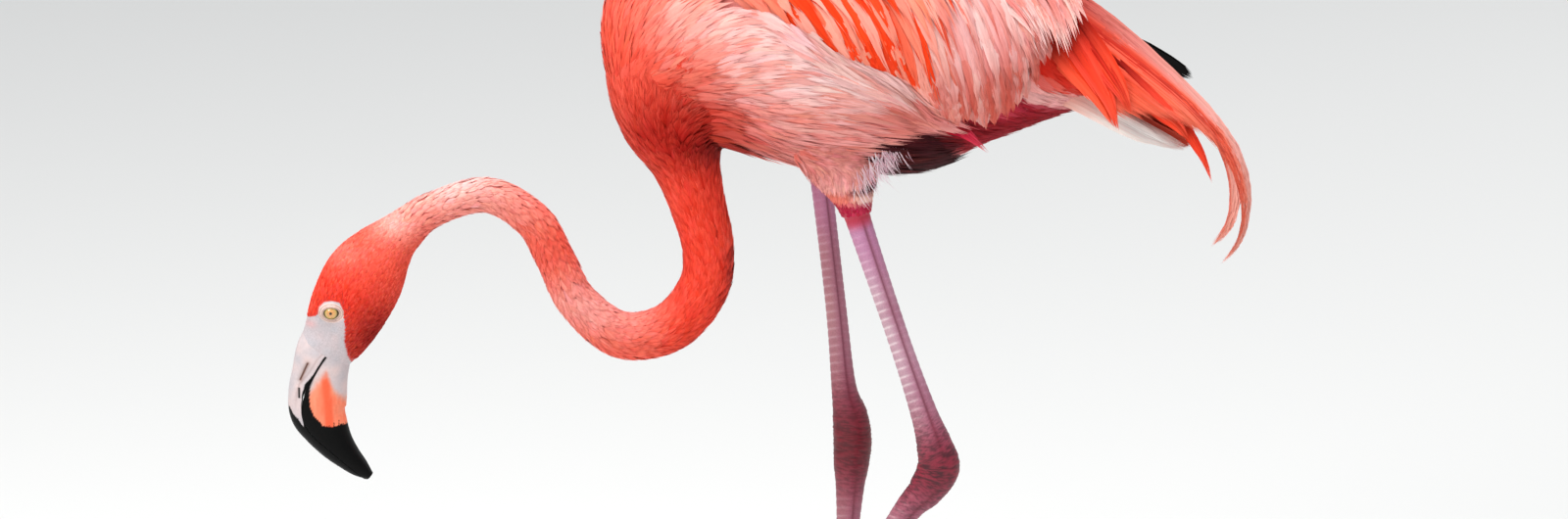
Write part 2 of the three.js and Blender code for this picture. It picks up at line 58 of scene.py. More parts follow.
# Rows of a tapering form: x, y, z, half depth, half width.
NECK = [
    [-351, -30, 411, 21.3, 15.5],  # base of the bill
    [-345, -30, 420, 24.4, 17.5],
    [-338, -30, 433, 27.9, 20.5],  # eyes
    [-330, -30, 449, 30.4, 22.5],  # crown
    [-322, -30, 465, 30.8, 22.5],
    [-314, -30, 478, 28.8, 21.0],  # nape
    [-304, -29, 491, 23.6, 18.5],
    [-291, -29, 504, 18.0, 16.2],
    [-268, -27, 521, 14.8, 14.2],
    [-226, -24, 532, 14.8, 14.2],  # top of the arch
    [-191, -21, 511, 15.9, 15.0],
    [-174, -18, 479, 16.4, 15.6],
    [-158, -15, 446, 17.2, 16.4],
    [-125, -10, 418, 19.6, 18.4],  # bottom of the bend
    [-87, -5, 423, 20.8, 19.6],
    [-62, -1, 452, 21.2, 20.2],
    [-58, 0, 484, 21.7, 21.0],
    [-66, 0, 519, 23.4, 23.0],
    [-75, 0, 552, 28.6, 28.0],
    [-83, 0, 582, 42.0, 42.0],  # root of the neck
    [-83, 0, 612, 54.0, 54.0],
    [-76, 0, 645, 58.0, 58.0],
    [-62, 0, 690, 48.0, 50.0],
]
HEAD_END = 6.6
TRUNK = [
    [-143, 0, 653, 0, 0],
    [-140, 0, 650, 31, 23],
    [-130, 0, 650, 54, 41],
    [-111, 0, 652, 72, 59],
    [-80, 0, 653, 87, 74],
    [-36, 0, 653, 94, 86],
    [14, 0, 649, 100, 91],
    [62, 0, 645, 100, 90],
    [108, 0, 642, 97, 83],
    [150, 0, 643, 80, 71],
    [190, 0, 640, 62, 57],
    [226, 0, 633, 42, 42],
    [250, 0, 622, 26, 30],
    [262, 0, 612, 0, 0],
]
TRUNK_MIDDLE = 60  # x about which the skin shrinks under the coat
TAIL = [
    [200, 0, 618, 22, 34],
    [236, 0, 603, 14, 34],
    [272, 0, 584, 7, 31],
    [302, 0, 571, 3, 22],
    [312, 0, 567, 1.4, 9],
]
BILL = [
    [-345, -30, 425, 19.5, 13.5],
    [-351, -30, 411, 21.3, 15.5],
    [-354.5, -30, 394, 21.4, 14.8],
    [-356.5, -30, 378, 22.4, 14.8],
    [-356.5, -30, 363, 21.7, 14.6],
    [-351, -30, 350, 18.2, 13.6],
    [-343, -30, 337, 13.9, 12.2],
    [-333.5, -30, 326, 10.2, 10.4],
    [-324.5, -30, 317.5, 7.2, 8.0],
    [-317, -30, 311.5, 3.0, 4.0],
]
MOUTH = [
    [-338, 426],
    [-351, 408],
    [-360, 393],
    [-367, 377],
    [-368, 361],
    [-361, 347],
    [-346, 333],
    [-331, 319],
    [-314, 304],
]  # x and z, from the gape to past the tip
MOUTH_GAP = 0.5
# Folded wing over the trunk: x, lowest and highest angle in degrees, thickness.
WING = [
    [-106, 34, 46, 2],
    [-88, 27, 62, 7],
    [-50, 26, 74, 10],
    [0, 28, 80, 11],
    [40, 22, 83, 12],
    [76, 2, 83, 12],
    [104, -14, 83, 11],
    [134, -29, 83, 10],
    [160, -34, 82, 9],
    [180, -27, 80, 7],
    [200, -12, 78, 4],
]
# Long drooping inner feathers of the left wing: the edge beside the midline, then the outer low edge.
TRAIN_TOP = [
    [150, -12, 716],
    [192, -12, 702],
    [230, -12, 680],
    [268, -12, 650],
    [304, -12, 616],
    [333, -13, 585],
    [349, -15, 556],
    [355, -18, 528],
    [352, -20, 502],
    [343, -22, 485],
    [332, -23, 476],
]
TRAIN_LOW = [
    [150, -68, 640],
    [182, -64, 620],
    [216, -57, 606],
    [258, -48, 594],
    [290, -42, 583],
    [312, -36, 567],
    [326, -31, 550],
    [338, -27, 530],
    [344, -25, 508],
    [339, -24, 490],
    [330, -23, 478],
]
TRAIN_BULGE = 11
RIGHT_TRAIN_SCALE = 0.97
RIGHT_TRAIN_LOWER = 5
PRIMARIES = [
    [[140, -34, 688], [210, -14, 663], [276, -7, 638], [311, -6, 619]],
    [[140, -36, 684], [205, -16, 658], [262, -8, 632], [300, -7, 614]],
]
LEG_LEFT = [
    [22, -38, 604, 34, 24],
    [38, -41, 572, 30, 22],
    [49, -44, 545, 21, 17],
    [55, -45, 524, 11.5, 11],
    [58, -45, 513, 9.6, 8.8],
    [87, -45, 425, 8.4, 7.4],
    [106, -45, 368, 10.2, 8.4],
    [115, -45, 340, 13.8, 11.2],
    [118, -45, 322, 16.2, 12.6],  # ankle
    [108, -46, 304, 13.8, 11.4],
    [96, -47, 291, 10.8, 9.4],
    [70, -49, 255, 8.4, 7.4],
    [0, -54, 160, 7.2, 6.6],
    [-56, -58, 84, 7.6, 7.4],
    [-69, -59, 66, 8.6, 9.0],
]
LEG_RIGHT = [
    [0, 38, 604, 32, 24],
    [14, 40, 574, 24, 19],
    [22, 41, 552, 14, 13],
    [26, 41, 538, 9.0, 8.6],
    [29, 40, 523, 8.2, 7.8],
    [40, 38, 428, 8.0, 7.2],
    [46, 36, 366, 9.6, 8.2],
    [51, 35, 342, 13.6, 11.2],
    [53, 34, 322, 14.8, 12.6],  # ankle
    [52, 32, 302, 13.6, 11.4],
    [51, 30, 284, 11.0, 9.4],
    [49, 26, 240, 8.4, 7.4],
    [46, 12, 140, 7.2, 6.6],
    [43, 1, 40, 7.6, 7.4],
    [42, -2, 13, 9.5, 9.5],
]
TOES = [[-27, 70], [0, 82], [27, 75]]  # spread in degrees and length: inner, middle, outer
TOE_BASE_RADIUS = 6.2
TOE_TIP_RADIUS = 4.0
TOE_CURL_RADIUS = 18
BALL_RADIUS = 9
HIND_TOE = 17
SOLE_TRIM = 0.7
WEB_THICK = 2.4
WEB_REACH = 0.86
FOOT_RIGHT = {"joint": (42, -2, 8.4), "heading": -3, "descent": 0, "spread": 1}
FOOT_LEFT = {"joint": (-69, -59, 65), "heading": 4, "descent": 78, "spread": 0.62}

EYE = (-344.5, -30, 445.5)  # on the head's own midplane
EYE_OUT = 14.6
EYE_RADIUS = 7.4
LID_LONG = 5.4  # half the opening, along x and along z
LID_TALL = 4.05
LID_THICK = 0.9
# Edge of the bare skin of the face, x and z, from the forehead round the eye to the chin.
FACE = [
    [-365.6, 437.3],
    [-358.1, 440.4],
    [-354.3, 443.1],
    [-353.5, 448.9],
    [-349.7, 452.8],
    [-344.1, 454.3],
    [-338.5, 453.5],
    [-335.6, 447.4],
    [-334.6, 435.8],
    [-335.4, 422.7],
    [-333.1, 409.8],
    [-330.9, 403.3],
    [-322.0, 392.0],
    [-400.0, 380.0],
    [-390.0, 437.3],
]

HEAD_COAT = 1.3  # depth of the coat over the skin
NECK_COAT = 2.2
BODY_COAT = 7.0
THIGH_COAT = 4.0

HOME = (np.array(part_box("eye_left")).mean(0) / MM) - (EYE[0], EYE[1] - EYE_OUT, EYE[2])

# ---------------------------------------------------------------- numbers


def between(rows, u):
    """Catmull-Rom interpolation between rows of numbers."""
    rows = np.asarray(rows, float)
    last = len(rows) - 1
    u = np.clip(np.asarray(u, float), 0, last)
    i = np.minimum(u.astype(int), last - 1)
    t = (u - i)[..., None]
    a, b, c, d = (rows[np.clip(i + k, 0, last)] for k in (-1, 0, 1, 2))
    return b + 0.5 * t * (c - a + t * (2 * a - 5 * b + 4 * c - d + t * (3 * (b - c) + d - a)))


def smooth(t):
    t = np.clip(t, 0, 1)
    return t * t * (3 - 2 * t)


def ramp(value, start, end):
    return smooth((np.asarray(value, float) - start) / (end - start))


def unit(v):
    return v / np.maximum(np.linalg.norm(v, axis=-1, keepdims=True), 1e-9)


def mix(a, b, share):
    share = np.asarray(share, float)[..., None]
    return a * (1 - share) + np.asarray(b, float) * share


def hashed(cell, seed):
    n = cell[..., 0] * 73856093 ^ cell[..., 1] * 19349663 ^ cell[..., 2] * 83492791 ^ (seed * 2654435761)
    n = ((n ^ (n >> 13)) * 1274126177) & 0xFFFFFFFF
    return ((n ^ (n >> 16)) & 0xFFFF) / 65535.0


def noise(points, size, seed=0):
    """Smooth value noise from 0 to 1, with cells of the given size."""
    at = np.asarray(points, float) / size
    cell = np.floor(at).astype(np.int64)
    t = smooth(at - cell)
    total = 0
    for k in range(8):
        corner = np.array([k & 1, (k >> 1) & 1, k >> 2])
        weight = np.prod(np.where(corner, t, 1 - t), axis=-1)
        total = total + weight * hashed(cell + corner, seed)
    return total


def inside_outline(outline, x, z):
    inside = np.zeros(np.shape(x), bool)
    for (ax, az), (bx, bz) in zip(outline, outline[1:] + outline[:1]):
        crosses = (az > z) != (bz > z)
        with np.errstate(divide="ignore", invalid="ignore"):
            at = ax + (z - az) * (bx - ax) / (bz - az if bz != az else 1e-9)
        inside ^= crosses & (x < at)
    return inside


def from_outline(outline, x, z):
    """Distance from points to the edge of an outline."""
    best = np.full(np.shape(x), 1e9)
    for (ax, az), (bx, bz) in zip(outline, outline[1:] + outline[:1]):
        dx, dz = bx - ax, bz - az
        t = np.clip(((x - ax) * dx + (z - az) * dz) / (dx * dx + dz * dz), 0, 1)
        best = np.minimum(best, np.hypot(x - ax - t * dx, z - az - t * dz))
    return best


def linear(colour):
    c = np.clip(np.asarray(colour, float) / 255, 0, 1)
    return np.where(c <= 0.04045, c / 12.92, ((c + 0.055) / 1.055) ** 2.4)


# ---------------------------------------------------------------- forms


class Form:
    """A closed tapering form. Its surface is found by row u and angle a: level out to +Y at 0, up at 90 degrees."""

    def __init__(self, rows, upright=False, relief=None):
        self.rows = np.asarray(rows, float)
        self.upright = upright
        self.relief = relief
        self.last = len(rows) - 1

    def frames(self, u):
        row = between(self.rows, u)
        if self.upright:
            along = np.broadcast_to([1.0, 0, 0], row[..., :3].shape)
        else:
            step = 0.01
            along = unit(between(self.rows, u + step)[..., :3] - between(self.rows, u - step)[..., :3])
        across = unit(np.array([0, 1.0, 0]) - along * along[..., 1:2])
        up = np.cross(along, across)
        return row[..., :3], along, across, up, row[..., 3:4], row[..., 4:5]

    def point(self, u, a, out=0.0):
        u, a, out = np.broadcast_arrays(np.asarray(u, float), np.asarray(a, float), np.asarray(out, float))
        centre, _, across, up, depth, width = self.frames(u)
        out = (out + (self.relief(centre, depth, a) if self.relief else 0))[..., None]
        level = np.maximum(width, 0) + out
        upward = np.maximum(depth, 0) + out
        return centre + across * level * np.cos(a)[..., None] + up * upward * np.sin(a)[..., None]

    def slopes(self, u, a):
        """Point, its change with u and with a, and the outward normal."""
        du, da = 0.01, 0.01
        lo, hi = np.clip(u - du, 0, self.last), np.clip(u + du, 0, self.last)
        p = self.point(u, a)
        by_u = (self.point(hi, a) - self.point(lo, a)) / (hi - lo)[..., None]
        by_a = (self.point(u, a + da) - self.point(u, a - da)) / (2 * da)
        normal = unit(np.cross(by_a, by_u))
        centre = self.frames(u)[0]
        flip = np.sign(np.sum((p - centre) * normal, -1, keepdims=True))
        return p, by_u, by_a, normal * np.where(flip == 0, 1, flip)

    def grid(self, u, a):
        return self.point(np.asarray(u)[:, None], np.asarray(a)[None, :])


def shrunk(rows, depth, middle=None):
    """Rows of a form under a coat of that depth. depth may differ from row to row."""
    rows = np.array(rows, float)
    rows[:, 3:] = np.maximum(rows[:, 3:] - np.reshape(depth, (-1, 1)), 0)
    if middle is not None:
        half = (rows[-1, 0] - rows[0, 0]) / 2
        rows[:, 0] = middle + (rows[:, 0] - middle) * (1 - np.max(depth) / half)
    return rows


def side_angle(a):
    """Angle in degrees from level outwards on either side, up to 90 at the top."""
    return np.degrees(np.arcsin(np.clip(np.sin(a), -1, 1)))


# The line along which the flank lies over the wing's front edge, and then the line of the wing's hanging tips.
WING_EDGE = [
    [-110, -60, -12.5, 17.6, 51.5, 77.3, 92.7, 116.4, 150, 179, 190, 213, 222],
    [736, 707, 683, 664, 647, 638, 630, 606, 602, 619, 645, 652, 700],
]
WING_TABLE = np.array(WING, float)
THROAT_HOLLOW = 11


def above_edge(x, z):
    """Height above the wing's lower edge."""
    return z - np.interp(x, *WING_EDGE)


def throat_hollow(x, angle):
    """Depth of the hollow in the body's side behind the root of the neck."""
    return THROAT_HOLLOW * np.exp(-(((angle + 42) / 24) ** 2)) * ramp(x, -125, -85) * ramp(-x, -10, 50)


def body_relief(centre, depth, a):
    """How far the folded wing lifts the body's surface, less the hollow beside the root of the neck."""
    x = centre[..., 0]
    z = centre[..., 2] + depth[..., 0] * np.sin(a)
    thick = np.interp(x, WING_TABLE[:, 0], WING_TABLE[:, 3])
    high = np.interp(x, WING_TABLE[:, 0], WING_TABLE[:, 2])
    angle = side_angle(a)
    share = ramp(above_edge(x, z), -12, 26) * (0.5 + 0.5 * ramp(-angle, -high - 4, -high + 16))
    lift = thick * share * ramp(x, -112, -70) * ramp(-x, -232, -180)
    return lift - throat_hollow(x, angle)


neck_depth = np.interp(np.arange(len(NECK)), [0, 5, 7, 19, 21], [0, HEAD_COAT, NECK_COAT, 3.5, 6])
neck_depth[:4] = [0, 0.7, 1.0, 1.2]
neck_skin = Form(shrunk(NECK, neck_depth))
trunk_skin = Form(shrunk(TRUNK, BODY_COAT, TRUNK_MIDDLE), upright=True, relief=body_relief)
leg_depth = np.interp(np.arange(len(LEG_LEFT)), [0, 2, 3], [THIGH_COAT, THIGH_COAT * 0.8, 0])
leg_skins = {LEFT: Form(shrunk(LEG_LEFT, leg_depth)), RIGHT: Form(shrunk(LEG_RIGHT, leg_depth))}

# ---------------------------------------------------------------- meshes


def make_mesh(name, points, quads, tris=(), colour=None, normals=None, layers=None):
    """A mesh object from points in millimetres. colour is sRGB at each point."""
    quads = np.asarray(quads, np.int32).reshape(-1, 4)
    tris = np.asarray(tris, np.int32).reshape(-1, 3)
    corners = np.concatenate([quads.ravel(), tris.ravel()])
    starts = np.concatenate([np.arange(len(quads)) * 4, len(quads) * 4 + np.arange(len(tris)) * 3])
    mesh = bpy.data.meshes.new(name)
    mesh.vertices.add(len(points))
    mesh.vertices.foreach_set("co", ((points + HOME) * MM).astype(np.float32).ravel())
    mesh.loops.add(len(corners))
    mesh.loops.foreach_set("vertex_index", corners.astype(np.int32))
    mesh.polygons.add(len(starts))
    mesh.polygons.foreach_set("loop_start", starts.astype(np.int32))
    mesh.update(calc_edges=True)
    mesh.shade_smooth()
    if colour is not None:
        paint(mesh, colour)
    for layer, uv in (layers or {}).items():
        mesh.uv_layers.new(name=layer).uv.foreach_set("vector", uv[corners].astype(np.float32).ravel())
    if normals is not None:
        mesh.normals_split_custom_set(normals)
    piece = bpy.data.objects.new(name, mesh)
    bpy.context.scene.collection.objects.link(piece)
    return piece


def paint(mesh, colour):
    rgba = np.ones((len(mesh.vertices), 4), np.float32)
    rgba[:, :3] = linear(colour)
    layer = mesh.color_attributes.new("Col", "FLOAT_COLOR", "POINT")
    layer.data.foreach_set("color", rgba.ravel())


def ring_faces(rings, sides):
    """Quads between closed rings of points numbered ring by ring."""
    i = np.arange(rings - 1)[:, None] * sides
    j = np.arange(sides)[None, :]
    k = (j + 1) % sides
    return np.stack([i + j, i + k, i + sides + k, i + sides + j], -1).reshape(-1, 4)


def closed_loft(grid):
    """Points, quads and end triangles of a closed skin over rings, grid[ring, side]."""
    rings, sides = grid.shape[:2]
    points = np.concatenate([grid.reshape(-1, 3), grid[0].mean(0)[None], grid[-1].mean(0)[None]])
    quads = ring_faces(rings, sides)
    j = np.arange(sides)
    k = (j + 1) % sides
    first, last = rings * sides, rings * sides + 1
    base = (rings - 1) * sides
    tris = np.concatenate(
        [np.stack([k, j, np.full(sides, first)], -1), np.stack([base + j, base + k, np.full(sides, last)], -1)]
    )
    a, b, c = grid[:-1, :-1].reshape(-1, 3), grid[:-1, 1:].reshape(-1, 3), grid[1:, 1:].reshape(-1, 3)
    middle = points.mean(0)
    if np.sum(np.einsum("ij,ij->i", a - middle, np.cross(b - middle, c - middle))) < 0:
        quads, tris = quads[:, ::-1], tris[:, ::-1]
    return points, quads, tris


def with_ends(values):
    """Adds the two end values that closed_loft needs, for values[ring, side]."""
    values = np.asarray(values, float)
    return np.concatenate([values.reshape(-1, values.shape[-1]), values[0].mean(0)[None], values[-1].mean(0)[None]])


def dense(start, end, count, spots):
    """Numbers from start to end, closer together round each spot (centre, reach, gain)."""
    fine = np.linspace(start, end, 4000)
    density = np.ones_like(fine)
    for centre, reach, gain in spots:
        density += gain * np.exp(-(((fine - centre) / reach) ** 2))
    total = np.cumsum(density)
    return np.interp(np.linspace(total[0], total[-1], count), total, fine)


# ---------------------------------------------------------------- markings, painted shade and highlights

CORAL = (240, 78, 56)
RED = (196, 34, 22)
PALE = (252, 216, 212)
ROSE = (244, 170, 164)
SALMON = (248, 128, 100)
VERMILION = (252, 76, 34)
CRIMSON = (150, 14, 30)
# painted shade: dark maroon for the underside of the belly
BELLY_SHADE_MAROON = (58, 5, 12)
WHITE = (255, 250, 246)
BLACK = (3, 3, 3)
BARE = (190, 185, 190)


def patch(points, centre, reach):
    """Soft share, from 0 to 1, of an oval spot on either side of the body. centre and reach are x and z."""
    dx = (points[..., 0] - centre[0]) / reach[0]
    dz = (points[..., 2] - centre[1]) / reach[1]
    return np.exp(-(dx * dx + dz * dz))


# Below this line, x and z, the belly is painted dark maroon: painted shade of the underside.
BELLY_LINE = [
    [-60, -20, 20, 48, 64, 84, 105, 118, 128, 136],
    [480, 500, 520, 548, 567, 584, 592, 592, 586, 470],
]


# The upper edge of the crimson vent.
VENT_LINE = [[118, 140, 160, 180, 200, 220, 240], [588, 606, 611, 609, 603, 597, 590]]


def plain(colour, points):
    return np.broadcast_to(np.array(colour, float), points.shape)


def body_colour(p):
    """Colour of the body's coat and the skin under it, with painted shade round the root of the neck and on the maroon
    underside, and a painted highlight on the vent.
    """
    x, z = p[..., 0], p[..., 2]
    streak = noise(p * (0.45, 1, 1), 13, 3) * 0.6 + noise(p * (0.5, 1, 1), 6, 4) * 0.4
    front = ramp(-x + (streak - 0.5) * 150, -10, 90)
    colour = mix(plain(ROSE, p), CORAL, front)
    pale = 0.9 * patch(p, (35, 640), (80, 30)) + 0.7 * patch(p, (-45, 682), (62, 26)) + 0.35 * patch(p, (90, 622), (50, 16))
    colour = mix(colour, PALE, np.clip(pale * (0.35 + 1.1 * streak), 0, 1) * 0.95)
    low = 0.42 * patch(p, (10, 574), (100, 22)) + 1.1 * patch(p, (96, 604), (44, 17))
    colour = mix(colour, (212, 114, 104), np.clip(low * (0.5 + streak), 0, 1))
    # painted shade: dark red in the hollow round the root of the neck and under the breast
    colour = mix(colour, (180, 28, 16), np.clip(1.1 * patch(p, (-80, 585), (50, 30)) * (0.6 + 0.7 * streak), 0, 1))
    colour = mix(colour, (112, 14, 10), 0.9 * patch(p, (-50, 566), (28, 10)))
    below = np.interp(x, *BELLY_LINE) - z + (streak - 0.5) * 9
    # painted shade: below the belly line the underside is painted dark maroon
    colour = mix(colour, BELLY_SHADE_MAROON, ramp(below, -3, 2))
    below = np.interp(x, *VENT_LINE) - z + (streak - 0.5) * 10
    colour = mix(colour, (236, 168, 164), ramp(x + (streak - 0.5) * 20, 150, 175) * ramp(below, -14, -8))
    # partly the rump's own red feathers, partly painted shade beside the wing's rear edge and the train's root
    colour = mix(colour, (224, 42, 26), ramp(x, 172, 186) * ramp(-below, 12, 20))
    colour = mix(colour, CRIMSON, ramp(below, -3, 2) * ramp(x - 0.6 * (590 - z), 108, 126))
    # painted highlight: a rose streak on the crimson vent
    return mix(colour, (220, 70, 92), 0.8 * patch(p, (158, 604), (22, 6)))


def neck_colour(p):
    x, z = p[..., 0], p[..., 2]
    fleck = noise(p, 5, 11) * 0.6 + noise(p, 2.2, 12) * 0.4
    colour = mix(plain((240, 76, 56), p), (248, 116, 100), fleck * 0.55)
    # painted highlight: the top of the neck's arch is painted pale
    arch = patch(p, (-262, 547), (66, 24))
    colour = mix(colour, (252, 214, 210), arch)
    colour = mix(colour, (252, 164, 152), 0.7 * patch(p, (-232, 520), (60, 22)))
    # painted highlight: the top of the nape is painted pale
    colour = mix(colour, (254, 190, 180), 0.8 * patch(p, (-300, 512), (20, 15)))
    colour = mix(colour, (252, 168, 160), 0.9 * patch(p, (-140, 446), (62, 30)) * ramp(-x, 60, 120))
    colour = mix(colour, (240, 58, 38), ramp(x, -105, -70) * 0.75)
    colour = mix(colour, (236, 52, 34), patch(p, (-338, 452), (34, 34)) * 0.8)
    # painted highlight: the top of the crown is painted lighter
    colour = mix(colour, (250, 128, 116), 0.6 * patch(p, (-340, 486), (26, 12)))
    # painted shade: dark red under the chin, behind the bill
    colour = mix(colour, (140, 18, 14), patch(p, (-314, 418), (20, 28)) * 0.9)
    # painted shade: dark red round the root of the neck and in the notch behind it
    colour = mix(colour, (176, 24, 14), np.clip(1.2 * patch(p, (-78, 588), (50, 36)), 0, 1) * ramp(x, -135, -110))
    return mix(colour, (104, 12, 10), 0.85 * patch(p, (-46, 566), (24, 14)))


def lid_reach(x, z):
    """1 on the edge of the eye's opening, more outside it."""
    return np.sqrt(((x - EYE[0]) / LID_LONG) ** 2 + ((z - EYE[2]) / LID_TALL) ** 2)


def skin_colour(p):
    """Markings of the whole skin over body, neck and face, with painted shade: dark red under the wing's edge and over
    all the skin under the coat.
    """
    x, z = p[..., 0], p[..., 2]
    colour = mix(body_colour(p), neck_colour(p), ramp(-z, -600, -560) * ramp(-x, -10, 20))
    # painted shade: dark red on the skin just under the wing's edge, seen in the gaps
    colour = mix(colour, (150, 30, 26), 0.8 * ramp(above_edge(x, z), -2, 8) * ramp(x, 60, 100) * ramp(-x, -225, -215))
    face = face_share(x, z)
    bare = mix(plain(BARE, p), (226, 190, 186), noise(p, 6, 21) * 0.4)
    bare = mix(bare, (232, 160, 158), 0.5 * patch(p, (-361.5, 434.5), (5, 3)))
    reach = lid_reach(x, z)
    bare = mix(bare, (226, 198, 188), ramp(-reach, -2.1, -1.7))
    fold = np.exp(-(((reach - 1.3) / 0.07) ** 2)) + 0.8 * np.exp(-(((reach - 1.62) / 0.07) ** 2))
    bare = mix(bare, (150, 108, 96), 0.75 * np.clip(fold, 0, 1))
    bare = mix(bare, (112, 96, 58), 0.9 * np.exp(-(((reach - 1.05) / 0.09) ** 2)))
    # painted shade: the skin under the coat, seen only in the gaps between feathers, is darkened towards red
    return mix(mix(colour, (176, 30, 24), 0.35), bare, face)


def face_share(x, z):
    inside = inside_outline(FACE, x, z)
    edge = from_outline(FACE, x, z)
    return np.where(inside, 1.0, ramp(-edge, -1.2, 0))


def creases(p):
    """Fine level folds of the ankles' skin."""
    return 0.5 * noise(p * (0.4, 0.4, 3), 2.4, 33) + 0.5 * noise(p * (0.5, 0.5, 3), 1.3, 34)


def leg_colour(p, s, a, side):
    """Colour of a leg. s is the length below the thigh, a the angle round it: -90 degrees is the front. The far leg is
    painted darker, with fainter plate lines and a deeper red ankle: painted shade.
    """
    far = side == RIGHT
    # painted shade: the far leg's base colour is darker
    base = (176, 122, 128) if far else (204, 172, 182)
    colour = mix(plain(base, p), (150, 84, 108), 0.5 * noise(p, 16, 31))
    front = ramp(-np.sin(a), -0.3, 0.5)
    colour = mix(colour, (238, 222, 224), (0.35 if far else 0.8) * scute(s, a) * (0.35 + 0.65 * front))
    colour = mix(colour, (168, 92, 124), 0.45 * (1 - front))
    colour = mix(colour, (190, 120, 164), 0.7 * ramp(-s, -80, -15))
    seam = np.exp(-(((side_angle(a) - 22) / 7) ** 2))
    colour = mix(colour, (104, 40, 56), 0.75 * seam)
    ankle = np.exp(-(((p[..., 2] - 322) / 34) ** 2)) ** 0.8
    wrinkle = creases(p)
    colour = mix(colour, (134, 30, 50), ankle)
    colour = mix(colour, (30, 8, 16), ankle * ramp(wrinkle, 0.42, 0.62) * 0.6)
    # painted shade: a deeper red ankle on the far leg
    if far:
        colour = mix(colour, (100, 8, 20), 0.5 * ankle)
    colour = mix(colour, (168, 92, 108), 0.6 * ramp(-p[..., 2], -120, -40))
    return mix(colour, (186, 36, 62), ramp(-s, -16, -4) * 0.95)


# ---------------------------------------------------------------- skin

SCUTE = 6.8


def scute(s, a):
    """Narrow lines between the plates of the leg, 1 on a line. The rear plates are offset from the front ones."""
    rear = np.sin(a) > 0.35
    at = s / SCUTE + 0.35 * np.abs(np.cos(a)) + np.where(rear, 0.5, 0.0)
    off = np.abs(at - np.round(at))
    return np.exp(-((off / 0.13) ** 2))


def shape_face(p):
    """Raises the lids round each eyeball and opens them over it."""
    out = np.abs(p[..., 1] - EYE[1])
    side = np.sign(p[..., 1] - EYE[1])
    dx, dz = p[..., 0] - EYE[0], p[..., 2] - EYE[2]
    reach = lid_reach(p[..., 0], p[..., 2])
    apart = dx * dx + dz * dz
    ball = EYE_OUT + np.sqrt(np.maximum(EYE_RADIUS**2 - apart, 0))
    margin = EYE_OUT + np.sqrt(np.maximum((EYE_RADIUS + LID_THICK) ** 2 - np.minimum(apart, 40), 4))
    fold = 0.25 * np.cos((reach - 1.35) * 14) * ramp(-reach, -1.9, -1.2)
    lid = margin + fold
    shaped = out + (lid - out) * ramp(-reach, -2.3, -1.25)
    shaped = shaped + (ball - 1.5 - shaped) * ramp(-reach, -1.1, -0.97)
    lores = 1.6 * patch(p, (-352, 430), (9, 8))
    near = (reach < 2.3) & (out > 6)
    p = p.copy()
    p[..., 1] = EYE[1] + side * (np.where(near, shaped, out) - np.where(out > 6, lores, 0))
    return p


def head_and_neck():
    u = dense(0.03, neck_skin.last, 420, [(2.7, 0.9, 9), (1.5, 2.6, 2.5)])
    eye_at = 28
    a = np.radians(dense(-90, 270, 184, [(eye_at, 22, 3.2), (180 - eye_at, 22, 3.2)])[:-1])
    grid = shape_face(neck_skin.grid(u, a))
    ripple = noise(grid, 3.0, 41) - 0.5
    head = ramp(-u, -HEAD_END, -HEAD_END + 2)[:, None]
    grid[..., 1] += np.sign(grid[..., 1] - EYE[1]) * 0.25 * ripple * head
    return closed_loft(grid)


def trunk():
    u = dense(0.004, trunk_skin.last - 0.004, 150, [(0, 1, 3), (13, 1, 3)])
    a = np.linspace(0, 2 * math.pi, 120, endpoint=False)
    return closed_loft(trunk_skin.grid(u, a))


def lengths(form, count=400):
    """Row numbers and the length along the form's line at each."""
    u = np.linspace(0, form.last, count)
    line = between(form.rows, u)[:, :3]
    step = np.linalg.norm(np.diff(line, axis=0), axis=1)
    return u, np.concatenate([[0], np.cumsum(step)])


def leg(side):
    form = leg_skins[side]
    u_at, s_at = lengths(form)
    s = np.concatenate([np.linspace(0, 70, 12, endpoint=False), np.linspace(70, s_at[-1], 620)])
    u = np.interp(s, s_at, u_at)
    bare = s - np.interp(3, u_at, s_at)
    a = np.linspace(0, 2 * math.pi, 36, endpoint=False)
    bare2, a2 = np.broadcast_arrays(bare[:, None], a[None, :])
    surface = form.grid(u, a)
    below = ramp(bare2, -6, 10)
    plates = (0.25 * (1 - scute(bare2, a2)) - 0.25) * below
    ankle = np.exp(-(((surface[..., 2] - 322) / 34) ** 2))
    wrinkles = 1.4 * (0.5 - creases(surface)) * ankle
    seam = -0.35 * np.exp(-(((side_angle(a2) - 22) / 9) ** 2)) * below
    grid = form.point(u[:, None], a[None, :], plates * (1 - ankle) + wrinkles + seam)
    return closed_loft(grid), with_ends(leg_colour(grid, bare2, a2, side))


def toe_radius(t):
    return TOE_BASE_RADIUS + (TOE_TIP_RADIUS - TOE_BASE_RADIUS) * t + 0.35 * np.cos(6 * math.pi * t)


def toe_line(stance, spread, length, steps=8):
    """Points along a toe: flat on the floor, or dropping from the joint and curling forward at the floor."""
    joint = np.array(stance["joint"], float)
    turn = math.radians(stance["heading"] + spread * stance["spread"])
    steep = math.radians(stance["descent"])
    end_height = toe_radius(1) - SOLE_TRIM
    line = [joint]
    for i in range(1, steps + 1):
        slope = 0.0
        if steep:
            straight = (joint[2] - end_height - TOE_CURL_RADIUS * (1 - math.cos(steep))) / math.sin(steep)
            curled = (i - 0.5) * length / steps - straight
            slope = steep * min(max(1 - curled / (TOE_CURL_RADIUS * steep), 0), 1)
        ahead = np.array([-math.cos(turn) * math.cos(slope), -math.sin(turn) * math.cos(slope), -math.sin(slope)])
        line.append(line[-1] + ahead * length / steps)
    line = np.array(line)
    if not steep:
        line[:, 2] = toe_radius(np.linspace(0, 1, steps + 1)) - SOLE_TRIM
    return line


